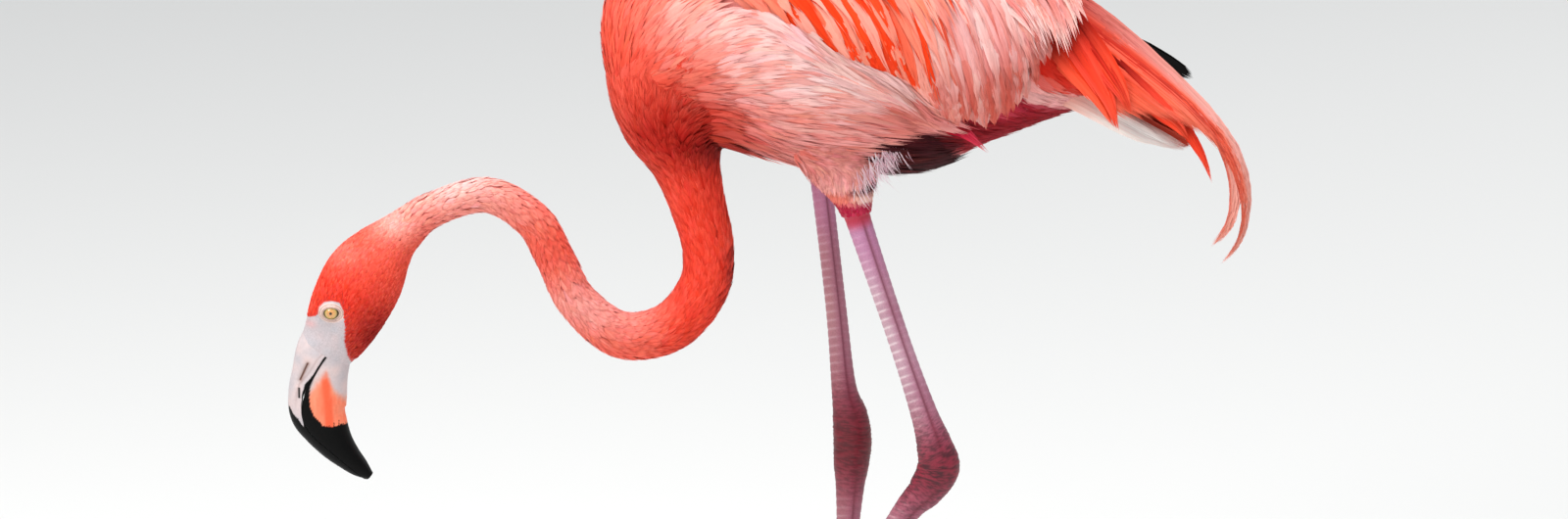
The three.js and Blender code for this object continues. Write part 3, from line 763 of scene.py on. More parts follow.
def toe(line):
    t = np.linspace(0, 1, len(line))
    radius = toe_radius(t)
    form = Form(np.column_stack([line, radius, radius * 0.95]))
    u = np.linspace(0, form.last, 120)
    a = np.linspace(0, 2 * math.pi, 28, endpoint=False)
    s = u / form.last * 75
    out = 0.3 * (1 - scute(s[:, None] * 1.35, a[None, :])) - 0.25
    grid = form.point(u[:, None], a[None, :], out)
    grid[..., 2] = np.maximum(grid[..., 2], 0.02)
    return grid, scute(s[:, None] * 1.35, np.broadcast_to(a[None, :], out.shape))


def web(line_a, line_b):
    """Thin skin between two toes, with a hollow front edge."""
    rows, columns = 40, 24
    i = np.linspace(0, (len(line_a) - 1) * WEB_REACH, rows)[:, None]
    t = np.linspace(0, 1, columns)[None, :]
    pulled = np.maximum(i - 2.2 * np.sin(math.pi * t) * (i / i[-1]) ** 2, 0)
    middle = between(line_a, pulled) * (1 - t[..., None]) + between(line_b, pulled) * t[..., None]
    middle = middle + [0, 0, -1.2]
    along, over = np.gradient(middle, axis=0), np.gradient(middle, axis=1)
    face = unit(np.cross(along, over))
    half = WEB_THICK / 2 * (0.75 + 0.25 * (noise(middle, 2.5, 51)))[..., None]
    grid = np.concatenate([middle + face * half, (middle - face * half)[:, ::-1]], 1)
    grid[..., 2] = np.maximum(grid[..., 2], 0.02)
    return grid


def foot(side, stance):
    """Closed grids of a foot and the ends of its toes."""
    lines = [toe_line(stance, -side * spread, length) for spread, length in TOES]
    grids = [toe(line)[0] for line in lines]
    grids += [web(lines[0], lines[1]), web(lines[1], lines[2])]
    x, y, z = stance["joint"]
    back = math.radians(stance["heading"] + 180)
    drop = 12 if stance["descent"] else z - 2.6
    t = np.array([0, 0.4, 0.8, 1])
    hind = np.column_stack(
        [
            x - math.cos(back) * HIND_TOE * t,
            y - math.sin(back) * HIND_TOE * t,
            z - drop * t**0.8,
            4.6 - 1.9 * t,
            4.4 - 1.9 * t,
        ]
    )
    a = np.linspace(0, 2 * math.pi, 24, endpoint=False)
    hind_grid = Form(hind).grid(np.linspace(0, 3, 30), a)
    phi = np.linspace(-math.pi / 2 + 0.05, math.pi / 2 - 0.05, 24)[:, None]
    ball = np.stack(
        [
            x + BALL_RADIUS * np.cos(phi) * np.cos(a),
            y + BALL_RADIUS * 0.97 * np.cos(phi) * np.sin(a),
            z + BALL_RADIUS * np.sin(phi) * np.ones_like(a),
        ],
        -1,
    )
    for grid in (hind_grid, ball):
        grid[..., 2] = np.maximum(grid[..., 2], 0.02)
    return grids + [hind_grid, ball], lines


def foot_colour(p):
    colour = mix(np.broadcast_to(np.array([182, 118, 132.0]), p.shape), (206, 158, 164), noise(p, 4, 61))
    return mix(colour, (128, 62, 80), 0.55 * noise(p, 9, 62))


def tint(grid, colour):
    return with_ends(np.broadcast_to(colour, grid.shape) if np.ndim(colour) == 1 else colour)


def build_skin():
    """One closed skin over body, neck, legs and feet."""
    lofts = []
    for loft in (head_and_neck(), trunk()):
        lofts.append((loft, skin_colour(loft[0])))
    for side, stance in ((LEFT, FOOT_LEFT), (RIGHT, FOOT_RIGHT)):
        lofts.append(leg(side))
        for grid in foot(side, stance)[0]:
            lofts.append((closed_loft(grid), tint(grid, foot_colour(grid))))
    pieces = [make_mesh(f"loft_{i}", *loft, colour=colour) for i, (loft, colour) in enumerate(lofts)]
    skin = pieces[0]
    others = bpy.data.collections.new("lofts")
    for piece in pieces[1:]:
        others.objects.link(piece)
    union = skin.modifiers.new("union", "BOOLEAN")
    union.operation = "UNION"
    union.solver = "MANIFOLD"
    union.operand_type = "COLLECTION"
    union.collection = others
    bpy.context.view_layer.update()
    whole = bpy.data.meshes.new_from_object(skin.evaluated_get(bpy.context.evaluated_depsgraph_get()))
    skin.modifiers.clear()
    skin.data = whole
    whole.shade_smooth()
    skin.name = whole.name = "skin"
    for piece in pieces[1:]:
        bpy.data.objects.remove(piece)
    bpy.data.collections.remove(others)
    return skin


# ---------------------------------------------------------------- eyes, bill and claws


def eyeball(side):
    """An eye whose colours follow the angle from its gaze."""
    rings, sides = 90, 96
    phi = np.linspace(0.002, math.pi - 0.002, rings)[:, None]
    theta = np.linspace(0, 2 * math.pi, sides, endpoint=False)[None, :]
    gaze = unit(np.array([-0.35, side * EYE_RADIUS, 0.25]))
    level = unit(np.cross(gaze, [0, 0, 1.0]))
    upward = np.cross(level, gaze)
    bulge = 0.35 * np.exp(-((phi / 0.55) ** 2))
    radius = EYE_RADIUS - 0.1 + bulge * 0.25
    ray = (
        np.cos(phi)[..., None] * gaze
        + (np.sin(phi) * np.cos(theta))[..., None] * level
        + (np.sin(phi) * np.sin(theta))[..., None] * upward
    )
    grid = np.array([EYE[0], EYE[1] + side * EYE_OUT, EYE[2]]) + ray * (radius * np.ones_like(theta))[..., None]
    away = EYE_RADIUS * np.sin(phi) * np.ones_like(theta)
    rays = noise(np.stack([np.cos(theta) * 9 + 0 * phi, np.sin(theta) * 9 + 0 * phi, away * 0.5], -1), 1.0, 71)
    colour = mix(np.broadcast_to(np.array([234, 182, 98.0]), grid.shape), (206, 138, 92), rays)
    colour = mix(colour, (196, 178, 100), ramp(away, 2.6, 4.2) * 0.7)
    colour = mix(colour, (96, 84, 46), ramp(away, 4.3, 4.9))
    colour = mix(colour, (44, 34, 26), ramp(away, 5.2, 5.6))
    colour = mix(colour, (150, 96, 50), ramp(-away, -1.4, -1.1) * 0.5)
    colour = mix(colour, (8, 7, 7), ramp(-away, -1.1, -0.95))
    return make_mesh(f"eye_{'left' if side == LEFT else 'right'}_ball", *closed_loft(grid), colour=with_ends(colour))


def mouth_level(centre, along, up):
    """Offset of the mouth line from the middle of each section of the bill, along the section's up direction."""
    line = between(MOUTH, np.linspace(0, len(MOUTH) - 1, 600))
    line = np.column_stack([line[:, 0], np.full(len(line), centre[0, 1]), line[:, 1]])
    levels = []
    for c, t, v in zip(centre, along, up):
        ahead = (line - c) @ t
        k = np.argmin(np.abs(ahead))
        levels.append((line[k] - c) @ v)
    return np.convolve(np.pad(levels, 6, mode="edge"), np.ones(13) / 13, "valid")


def mandible(sign):
    """Half of the bill: -1 is the upper mandible, 1 the lower."""
    form = Form(BILL)
    u = np.linspace(0.3, form.last, 300)
    centre, along, across, up, depth, width = form.frames(u)
    depth, width = depth[:, 0], width[:, 0]
    level = mouth_level(centre, along, up) + sign * MOUTH_GAP / 2
    level = np.clip(level / depth, -0.94, 0.94) * depth
    start = np.arcsin(level / depth)
    arc, chord = 96, 14
    t = np.linspace(0, 1, arc)[None, :]
    a = start[:, None] + sign * t * (math.pi - 2 * sign * start[:, None])
    y = width[:, None] * np.cos(a)
    v = depth[:, None] * np.sin(a)
    back = np.linspace(1, 0, chord + 2)[None, 1:-1]
    edge_y = y[:, -1:] * back + y[:, :1] * (1 - back)
    dish = 1 - (edge_y / np.maximum(np.abs(y[:, :1]), 0.1)) ** 2
    edge_v = level[:, None] + sign * dish * np.minimum(2.2, depth[:, None] * 0.3)
    y, v = np.concatenate([y, edge_y], 1), np.concatenate([v, edge_v], 1)
    grid = centre[:, None] + across[:, None] * y[..., None] + up[:, None] * v[..., None]
    near_edge = np.exp(-(((v - level[:, None]) / 0.9) ** 2))
    s = np.concatenate([[0], np.cumsum(np.linalg.norm(np.diff(centre, axis=0), axis=1))])[:, None]
    comb = 0.12 * np.sin(2 * math.pi * s / 1.3) * near_edge
    outwards = np.sign(y)[..., None] * across[:, None]
    grid = grid + outwards * (comb - nostril(grid) * (sign < 0))[..., None]
    colour = bill_colour(grid, sign)
    name = "bill_upper_horn" if sign < 0 else "bill_lower_horn"
    return make_mesh(name, *closed_loft(grid), colour=with_ends(colour))


NOSTRIL = [(-363.3, 404.0), (-369.1, 390.8)]
# Outlines of the bill's markings. The band has x by z; the salmon patch's top has z by x.
BAND_LEFT = [[352.6, 362.7, 369.7, 379.8, 387.5, 396, 408.4, 412], [-366.9, -368.2, -368.9, -368, -365.7, -358.8, -351.2, -347.4]]
BAND_RIGHT = [
    [356.5, 362.7, 369.7, 378.2, 386, 394.5, 402.2, 412],
    [-352.9, -358.8, -361.7, -362.3, -361.5, -357.6, -353.2, -346.6],
]
SALMON_TOP = [[-364, -361, -357, -353.6, -349, -346.9, -344, -340.3, -334.6, -331], [382, 386, 391.4, 394.5, 399, 394.5, 386.4, 380.5, 377.4, 373]]


def nostril(p):
    """Depth of the slit on each side of the upper mandible."""
    (ax, az), (bx, bz) = NOSTRIL
    dx, dz = bx - ax, bz - az
    t = np.clip(((p[..., 0] - ax) * dx + (p[..., 2] - az) * dz) / (dx * dx + dz * dz), 0, 1)
    off = np.hypot(p[..., 0] - ax - t * dx, p[..., 2] - az - t * dz)
    side = ramp(np.abs(p[..., 1] - EYE[1]), 2, 5)
    return side * (1.1 * np.exp(-((off / 0.6) ** 2)) + 0.35 * np.exp(-((off / 2.2) ** 2)))


def bill_colour(p, sign):
    x, z = p[..., 0], p[..., 2]
    jag = (noise(p, 3.2, 81) - 0.5) * 5 + (noise(p, 1.1, 82) - 0.5) * 2.2
    colour = mix(np.broadcast_to(np.array(BARE, float), p.shape), (236, 206, 200), noise(p, 7, 83) * 0.7)
    colour = mix(colour, (214, 182, 170), 0.8 * nostril(p))
    if sign > 0:
        top = np.interp(x, SALMON_TOP[0], SALMON_TOP[1])
        streak = np.exp(-(((x + 349 + (z - 380) * 0.08) / 3.4) ** 2)) + 0.6 * noise(p * (1, 1, 0.25), 1.8, 84)
        salmon = mix(plain((250, 152, 120), p), (248, 104, 70), np.clip(streak, 0, 1))
        colour = mix(colour, salmon, ramp(top - z + jag * 0.6, -3, 9))
        edge = np.interp(z, BAND_RIGHT[0], BAND_RIGHT[1])
        spikes = np.maximum(noise(p * (1, 1, 0.12), 0.9, 85) - 0.62, 0) * 22
        black = np.maximum(ramp(edge - x, -0.3, 0.4), ramp(354.4 - z + jag * 0.5 + spikes, -0.4, 0.6))
    else:
        edge = np.interp(z, BAND_LEFT[0], BAND_LEFT[1])
        tip = ramp(352 + 1.3 * np.maximum(-366 - x, 0) - z + jag * 0.8, -0.5, 0.8)
        black = np.maximum(ramp(x - edge + jag * 0.1, -0.3, 0.4), tip)
        dash = np.exp(-(((x + 370.2) / 0.75) ** 2)) * ramp(noise(p * (0.2, 0.2, 1), 4.5, 86), 0.42, 0.5)
        black = np.maximum(black, dash * ramp(z, 364, 366) * ramp(-z, -386, -384))
        # painted shade: a greyer line beside the raised rim of the upper mandible
        rim = np.exp(-(((x - edge + 4.2) / 1.0) ** 2)) * ramp(z, 364, 380)
        colour = mix(colour, (176, 150, 148), 0.45 * rim)
        # painted shade: dark brown in the nostril slit
        slit = np.clip(nostril(p) / 1.1, 0, 1)
        colour = mix(colour, (96, 66, 58), 0.85 * slit)
    black = black * ramp(-z, -414, -411)
    return mix(colour, BLACK, black)


def claw(side, k, line):
    """A toe's claw: a short curved cone beyond the end of the toe."""
    tip = line[-1]
    ahead = unit(tip - line[-2])
    t = np.linspace(0, 1, 16)[:, None]
    centre = tip + ahead * (0.9 + 9 * t)
    centre[:, 2] = (TOE_TIP_RADIUS * (1 - 0.62 * t) - SOLE_TRIM * 0.5)[:, 0]
    across = unit(np.cross(ahead, [0, 0, 1.0]))
    a = np.linspace(0, 2 * math.pi, 20, endpoint=False)[None, :, None]
    wide = (TOE_TIP_RADIUS - 0.6) * (1 - 0.8 * t[:, None] ** 1.3)
    high = (TOE_TIP_RADIUS - 0.9) * (1 - 0.8 * t[:, None] ** 1.3)
    grid = centre[:, None] + across * np.cos(a) * wide + np.array([0, 0, 1.0]) * np.sin(a) * high
    grid[..., 2] = np.maximum(grid[..., 2], 0.02)
    toe_name = ("inner", "middle", "outer")[k]
    name = f"claw_{'left' if side == LEFT else 'right'}_{toe_name}"
    colour = mix(np.broadcast_to(np.array([40, 30, 30.0]), grid.shape), (92, 66, 66), ramp(-t, -0.4, 0)[:, 0][:, None] * np.ones(20))
    return make_mesh(name + "_horn", *closed_loft(grid), colour=with_ends(colour)), name


# ---------------------------------------------------------------- coat


def flat_rings(rings):
    """Values of all the rings but the last, lock by lock."""
    return rings[:-1].transpose(1, 0, 2, 3).reshape(rings.shape[1], -1, rings.shape[-1])


class Coat:
    """One piece of the coat: a joined mesh of many closed locks."""

    def __init__(self):
        self.points, self.quads, self.tris = [], [], []
        self.quad_normals, self.tri_normals = [], []
        self.colours, self.bake, self.strand = [], [], []
        self.count = 0

    def add(self, centre, normal, width, thick, colour, root, round_):
        """Locks along paths. centre, normal and colour are [station, lock, 3], width and thick [station, lock].

        root is each lock's place on the unwrapped skin, [lock, 2].
        """
        stations, count = centre.shape[:2]
        along = unit(np.gradient(centre, axis=0))
        side = unit(np.cross(along, normal))
        half = side * (width / 2)[..., None]
        rings = np.stack([centre - half, centre + normal * thick[..., None], centre + half], 2)
        facing = np.stack([unit(normal - side * round_), normal, unit(normal + side * round_)], 2)
        facing = np.concatenate([flat_rings(facing), unit(normal[-1] + along[-1] * 0.3)[:, None]], 1)
        per = 3 * (stations - 1) + 1

        def flat(body, tip):
            return np.concatenate([flat_rings(body), tip[:, None]], 1).reshape(count * per, -1)

        spot = 0.003
        q = np.linspace(0, 1, stations)
        local = np.zeros((stations, count, 3, 2))
        local[..., 0] = np.array([-0.5, 0, 0.5]) * spot
        local[..., 1] = (q * spot)[:, None, None]
        strand = np.zeros((stations, count, 3, 2))
        strand[..., 0] = np.array([0, 0.5, 1]) + np.arange(count)[None, :, None] * 1.7 % 50
        strand[..., 1] = q[:, None, None]
        self.points.append(flat(rings, centre[-1]))
        self.colours.append(flat(np.repeat(colour[:, :, None], 3, 2), colour[-1]))
        self.bake.append(flat(local + root[None, :, None], root + [0, spot]))
        self.strand.append(flat(strand, strand[-1, :, 1]))
        quads = [
            [3 * k + i, 3 * k + (i + 1) % 3, 3 * k + 3 + (i + 1) % 3, 3 * k + 3 + i]
            for k in range(stations - 2)
            for i in range(3)
        ]
        end = 3 * (stations - 2)
        tris = [[end, end + 1, per - 1], [end + 1, end + 2, per - 1], [end + 2, end, per - 1], [2, 1, 0]]
        under = (np.arange(len(quads)) % 3 == 2)[:, None, None]
        quad_normals = facing[:, quads]
        tri_normals = facing[:, tris]
        self.quad_normals.append(np.where(under, -quad_normals, quad_normals).reshape(-1, 3))
        below = np.array([False, False, True, False])[:, None, None]
        tri_normals = np.where(below, -tri_normals, tri_normals)
        tri_normals[:, 3] = -along[0][:, None]
        self.tri_normals.append(tri_normals.reshape(-1, 3))
        shift = self.count + np.arange(count)[:, None, None] * per
        self.quads.append((np.array(quads)[None] + shift).reshape(-1, 4))
        self.tris.append((np.array(tris)[None] + shift).reshape(-1, 3))
        self.count += count * per

    def triangles(self):
        return 2 * sum(len(q) for q in self.quads) + sum(len(t) for t in self.tris)

    def build(self, name, slot, nodes=()):
        join = np.concatenate
        bake = join(self.bake)
        piece = make_mesh(
            name,
            join(self.points),
            join(self.quads),
            join(self.tris),
            colour=join(self.colours),
            normals=join(self.quad_normals + self.tri_normals),
            layers={"OFBake": np.clip(bake, 0.001, 0.999), "Strand": join(self.strand)},
        )
        finish_piece(piece, slot, nodes)
        print(f"{name}: {self.triangles()} triangles")
        return piece


def sample(path, share):
    """Points along paths. path is [node, feather, ...] and share is [station, feather, barb] from 0 to 1."""
    last = path.shape[0] - 1
    at = np.clip(share, 0, 1) * last
    i = np.minimum(at.astype(int), last - 1)
    t = (at - i)[..., None]
    feather = np.arange(path.shape[1])[None, :, None]
    return path[i, feather] * (1 - t) + path[i + 1, feather] * t


def feathers(coat, path, normal, width, colour, place, rng, barbs=6, stations=5, fan=0.5, tip=0.35, cut=0.3,
             ragged=0.06, camber=0.08, tips=None, rims=None, roots=None, vary=9, lift=0.25, thin=0.3, full=1.7, round_=0.45):
    """Adds feathers, each a bundle of barbs side by side along its path.

    path and normal are [node, feather, 3]; width and the colours belong to each feather.
    place is each root on the unwrapped skin, with the unwrap's share for a millimetre across: [feather, 3].
    fan and tip are the bundle's share of its width at the root and at the end. cut rounds the end off.
    """
    count = path.shape[1]
    along = unit(np.gradient(path, axis=0))
    side = unit(np.cross(along, normal))
    v = (np.arange(barbs) + 0.5) / barbs * 2 - 1
    v = v[None, :] + rng.uniform(-0.6, 0.6, (count, barbs)) / barbs
    start = 0.22 * np.abs(v) * rng.uniform(0.5, 1.0, v.shape)
    end = 1 - cut * np.abs(v) ** 2.2 - ragged * rng.uniform(0, 1, v.shape)
    q = np.linspace(0, 1, stations)[:, None, None]
    s = start + (end - start) * q
    spread = (fan + (1 - fan) * smooth(s / 0.5)) * (1 - (1 - tip) * ramp(s, 0.55, 1.0))
    wide = np.reshape(width, (1, -1, 1))
    offset = v * wide / 2 * spread
    n, sd = sample(normal, s), sample(side, s)
    raised = lift * rng.uniform(-1, 1, v.shape) * smooth(q * 1.5) - camber * wide * v**2
    centre = sample(path, s) + sd * offset[..., None] + n * raised[..., None]
    n = unit(n + sd * (v * camber * 2.5)[None, ..., None])
    taper = (0.7 + 0.3 * np.sin(math.pi * np.minimum(q * 1.4, 1))) * np.sqrt(np.clip(1.02 - q**3, 0, 1))
    lock = wide / barbs * full * taper * rng.uniform(0.8, 1.15, v.shape) * (0.45 + 0.55 * spread)
    colour = np.broadcast_to(colour, (count, 3))[None, :, None, :] * np.ones((stations, 1, barbs, 1))
    if tips is not None:
        colour = mix(colour, np.broadcast_to(tips[0], (count, 3))[None, :, None, :], np.reshape(tips[1], (1, -1, 1)) * ramp(s, 0.45, 0.98))
    if roots is not None:
        colour = mix(colour, np.broadcast_to(roots[0], (count, 3))[None, :, None, :], roots[1] * ramp(-s, -roots[2], -0.02))
    if rims is not None:
        colour = mix(colour, np.broadcast_to(rims[0], (count, 3))[None, :, None, :], rims[1] * np.abs(v) ** 1.5 * (s > -1))
    colour = colour + rng.normal(0, 1, v.shape)[None, ..., None] * vary
    root = place[:, None, :2] + np.stack([v * wide[0] / 2 * place[:, None, 2], np.zeros_like(v)], -1)
    flat = lambda array: array.reshape(stations, count * barbs, *array.shape[3:])
    coat.add(flat(centre), flat(n), flat(lock), flat(lock) * thin, flat(colour), root.reshape(-1, 2), round_)


def scatter(form, u_range, step_along, step_round, rng, stagger=0.35):
    """Roots over a form's surface: rings step_along apart, with roots step_round apart on each."""
    u_fine = np.linspace(*u_range, 600)
    probe = form.point(u_fine[:, None], np.linspace(0, 2 * math.pi, 9)[None, :-1])
    step = np.linalg.norm(np.diff(probe, axis=0), axis=-1).max(1)
    length = np.concatenate([[0], np.cumsum(step)])
    us, angles = [], []
    a_fine = np.linspace(-math.pi / 2, 1.5 * math.pi, 181)
    for s in np.arange(step_along / 2, length[-1], step_along):
        u = np.interp(s, length, u_fine)
        ring = form.point(np.full(181, u), a_fine)
        around = np.concatenate([[0], np.cumsum(np.linalg.norm(np.diff(ring, axis=0), axis=1))])
        count = max(int(around[-1] / step_round), 3)
        at = (np.arange(count) + rng.uniform() + rng.uniform(-stagger, stagger, count)) * around[-1] / count
        angles.append(np.interp(at % around[-1], around, a_fine))
        us.append(u + rng.uniform(-stagger, stagger, count) * step_along * (u_fine[-1] - u_fine[0]) / length[-1])
    return np.clip(np.concatenate(us), *u_range), np.concatenate(angles)


def lay(form, u, a, length, heading, height, nodes=6, cling=1.0):
    """Paths over a form from roots, following heading(points), which gives the wanted direction.

    height is the root's and the tip's distance above the form. Past cling, a path runs straight on.
    """
    path, normals = [], []
    step = np.asarray(length, float) / (nodes - 1)
    u, a = np.array(u, float), np.array(a, float)
    straight = None
    for k in range(nodes):
        share = k / (nodes - 1)
        if share <= cling or straight is None:
            p, by_u, by_a, n = form.slopes(u, a)
            d = heading(p)
            guu, gaa, gua = (by_u**2).sum(-1), (by_a**2).sum(-1), (by_u * by_a).sum(-1)
            bu, ba = (by_u * d).sum(-1), (by_a * d).sum(-1)
            det = np.maximum(guu * gaa - gua**2, 1e-9)
            du, da = (bu * gaa - ba * gua) / det, (ba * guu - bu * gua) / det
            t = by_u * du[:, None] + by_a * da[:, None]
            scale = step / np.maximum(np.linalg.norm(t, axis=-1), 1e-6)
            u, a = u + du * scale, a + da * scale
            straight = unit(t)
            last = p
        else:
            p = last + straight * step[..., None] if np.ndim(step) else last + straight * step
            last = p
        raised = height[0] + (np.asarray(height[1]) - height[0]) * share
        path.append(p + n * np.reshape(raised, (-1, 1)))
        normals.append(n)
    return np.array(path), np.array(normals)


def unwrap(form, u, a):
    """Each root's place on the unwrapped form, and the unwrap's share for a millimetre across."""
    _, _, by_a, _ = form.slopes(u, a)
    scale = 1 / np.maximum(np.linalg.norm(by_a, axis=-1) * 2 * math.pi, 1)
    return np.column_stack([(a / (2 * math.pi)) % 1, u / form.last, scale])


def varied(colour, rng, amount):
    """Colours of feathers, lighter or darker by feather."""
    return colour + rng.normal(0, amount, (len(colour), 1)) + rng.normal(0, amount * 0.35, colour.shape)


def lie(degrees):
    """Directions in the plane of the bird's side."""
    turn = np.radians(degrees)
    return np.stack([np.cos(turn), np.zeros_like(turn), np.sin(turn)], -1)


def in_neck(p):
    """How far points are inside the root of the neck, as a share of its radius."""
    root = np.array(NECK[18:], float)
    x, depth, width = (np.interp(p[:, 2], root[:, 2], root[:, k]) for k in (0, 3, 4))
    inside = 1 - np.hypot((p[:, 0] - x) / depth, p[:, 1] / width)
    return np.where(p[:, 2] < 650, inside, -1)


def in_trunk(p):
    """How far points are inside the trunk's skin, as a share of its radius."""
    rows = trunk_skin.rows
    middle, depth, width = (np.interp(p[:, 0], rows[:, 0], rows[:, k]) for k in (2, 3, 4))
    return 1 - np.hypot((p[:, 2] - middle) / np.maximum(depth, 1), p[:, 1] / np.maximum(width, 1))


def clear_of_trunk(path, normal, height):
    """Paths and normals lifted out of the trunk where they would run inside it."""
    rows = trunk_skin.rows
    x = path[..., 0]
    middle, depth, width = (np.interp(x, rows[:, 0], rows[:, k]) for k in (2, 3, 4))
    depth, width = np.maximum(depth, 1), np.maximum(width, 1)
    y, z = path[..., 1] / width, (path[..., 2] - middle) / depth
    reach = np.hypot(y, z)
    angle = np.degrees(np.arctan2(z, np.abs(y)))
    wanted = 1 + 2 * (height - throat_hollow(x, angle)) / (depth + width)
    inside = (reach < wanted) & (reach > 0.3)
    scale = np.where(inside, wanted / np.maximum(reach, 0.3), 1)
    scale = 1 + (scale - 1) * ramp(x, -132, -104)
    moved = np.stack([x, y * width * scale, middle + z * depth * scale], -1)
    outward = unit(np.stack([-0.15 * np.ones_like(x), y * depth, z * width], -1) / (depth + width)[..., None])
    return moved, unit(mix(normal, outward, inside * ramp(x, -132, -104)))


NECK_ROOT = 20.4


def head_coat():
    rng = np.random.default_rng(11)
    coat = Coat()
    u, a = scatter(neck_skin, (0.7, 7.2), 1.9, 1.8, rng)
    p = neck_skin.point(u, a)
    keep = ~inside_outline(FACE, p[:, 0], p[:, 2])
    u, a, p = u[keep], a[keep], p[keep]
    size = 0.45 + 0.55 * ramp(from_outline(FACE, p[:, 0], p[:, 2]), 0, 8)
    tip = HEAD_COAT * size + rng.uniform(0, 0.3, len(u))
    path, normal = lay_along(neck_skin, u, a, 7.5 * size, (0.05, tip), rng, 0.16)
    colour = varied(neck_colour(p), rng, 7)
    feathers(coat, path, normal, 2.4 * size, colour, unwrap(neck_skin, u, a), rng, barbs=2, stations=4, tip=0.3,
             cut=0.1, ragged=0.15, tips=((255, 128, 106), 0.2), lift=0.08, full=1.6, thin=0.2, vary=5, round_=0.35)
    coat.build("coat_head", "plumage")


def lay_along(form, u, a, length, height, rng, sway, nodes=5, cling=1.0):
    """Paths that follow a form's own length, each turned a little to one side."""
    turn = rng.normal(0, sway, len(u))
    path, normals = [], []
    step = length / (nodes - 1)
    u, a = np.array(u, float), np.array(a, float)
    for k in range(nodes):
        p, by_u, by_a, n = form.slopes(u, a)
        t, w = unit(by_u), unit(by_a)
        raised = height[0] + (np.asarray(height[1]) - height[0]) * k / (nodes - 1)
        path.append(p + n * np.reshape(raised, (-1, 1)))
        normals.append(n)
        ahead = np.cos(turn) * step
        _, later, _, _ = form.slopes(u + ahead / np.maximum(np.linalg.norm(by_u, axis=-1), 1e-3), a)
        u = u + 2 * ahead / (np.linalg.norm(by_u, axis=-1) + np.linalg.norm(later, axis=-1))
        a = a + step * np.sin(turn) / np.maximum(np.linalg.norm(by_a, axis=-1), 1e-3)
    return np.array(path), np.array(normals)


def neck_coat():
    rng = np.random.default_rng(12)
    u, a = scatter(neck_skin, (6.6, NECK_ROOT), 4.4, 3.8, rng)
    p = neck_skin.point(u, a)
    keep = in_trunk(p) < 0.16
    u, a, p = u[keep], a[keep], p[keep]
    length = np.interp(u, [6, 9, 15, 18, 20], [10, 13, 16, 26, 44])
    size = np.interp(u, [6, 15, 18, 20], [3.8, 4.6, 6, 10])
    depth = np.interp(u, [6, 9, 17, 19, 20.4], [HEAD_COAT, 1.6, 1.8, 4, 5])
    tip = depth + rng.uniform(0, 0.5, len(u))
    path, normal = lay_along(neck_skin, u, a, length, (0.05, tip), rng, 0.12, nodes=6)
    share = np.linspace(0, 1, 6)[:, None]
    bend = ramp(p[:, 0], -95, -50) * ramp(p[:, 2], 535, 585) * length * 0.75 * share**2
    path = path + bend[..., None] * np.array([1.0, 0, -0.5])
    path, normal = clear_of_trunk(path, normal, 1 + 3.5 * share)
    colour = neck_colour(path[3])
    body = np.maximum(ramp(path[5][:, 2], 575, 600), ramp(path[5][:, 0], -52, -34))
    tips = mix(colour, body_colour(path[5]), body)
    tips = mix(tips, (255, 146, 126), 0.16 * np.ones(len(u)))
    colour = varied(colour, rng, 6)
    place = unwrap(neck_skin, u, a)
    for name, chosen, barbs, lift in (("coat_neck", u < 17.4, 3, 0.02), ("coat_throat", u >= 17.4, 4, 0.1)):
        coat = Coat()
        feathers(coat, path[:, chosen], normal[:, chosen], size[chosen], colour[chosen], place[chosen], rng,
                 barbs=barbs, stations=barbs + 1, tip=0.3, cut=0.12, ragged=0.1, tips=(tips[chosen], 0.9), lift=lift,
                 thin=0.06, vary=6, round_=0.35)
        coat.build(name, "plumage")


def body_lie(p):
    """Direction of the breast, flank and belly feathers."""
    x, z = p[..., 0], p[..., 2]
    degrees = np.interp(x, [-140, -90, -40, 15, 75, 140, 220], [70, 36, 19, 1, -18, -22, -26])
    level = ramp(-z, -612, -575) * ramp(x, -60, 0)
    degrees = degrees * (1 - 0.75 * level)
    edge_slope = np.interp(x, [-45, -12, 20, 60, 85, 105, 140], [10, -18, -27, -24, -38, -42, -40])
    near = np.exp(-((above_edge(x, z) / 24) ** 2)) * ramp(x, -60, -20)
    degrees = degrees * (1 - near) + edge_slope * near
    back = ramp(z, 700, 735)
    degrees = degrees * (1 - back) + np.interp(x, [-140, -60, 200], [40, 5, -14]) * back
    return lie(degrees)


def under_wing(x, z):
    """Share by which a place is hidden under the wing."""
    return above_edge(x, z) > np.where(x < 116, 5 + 9 * ramp(-x, 20, 60), 22)


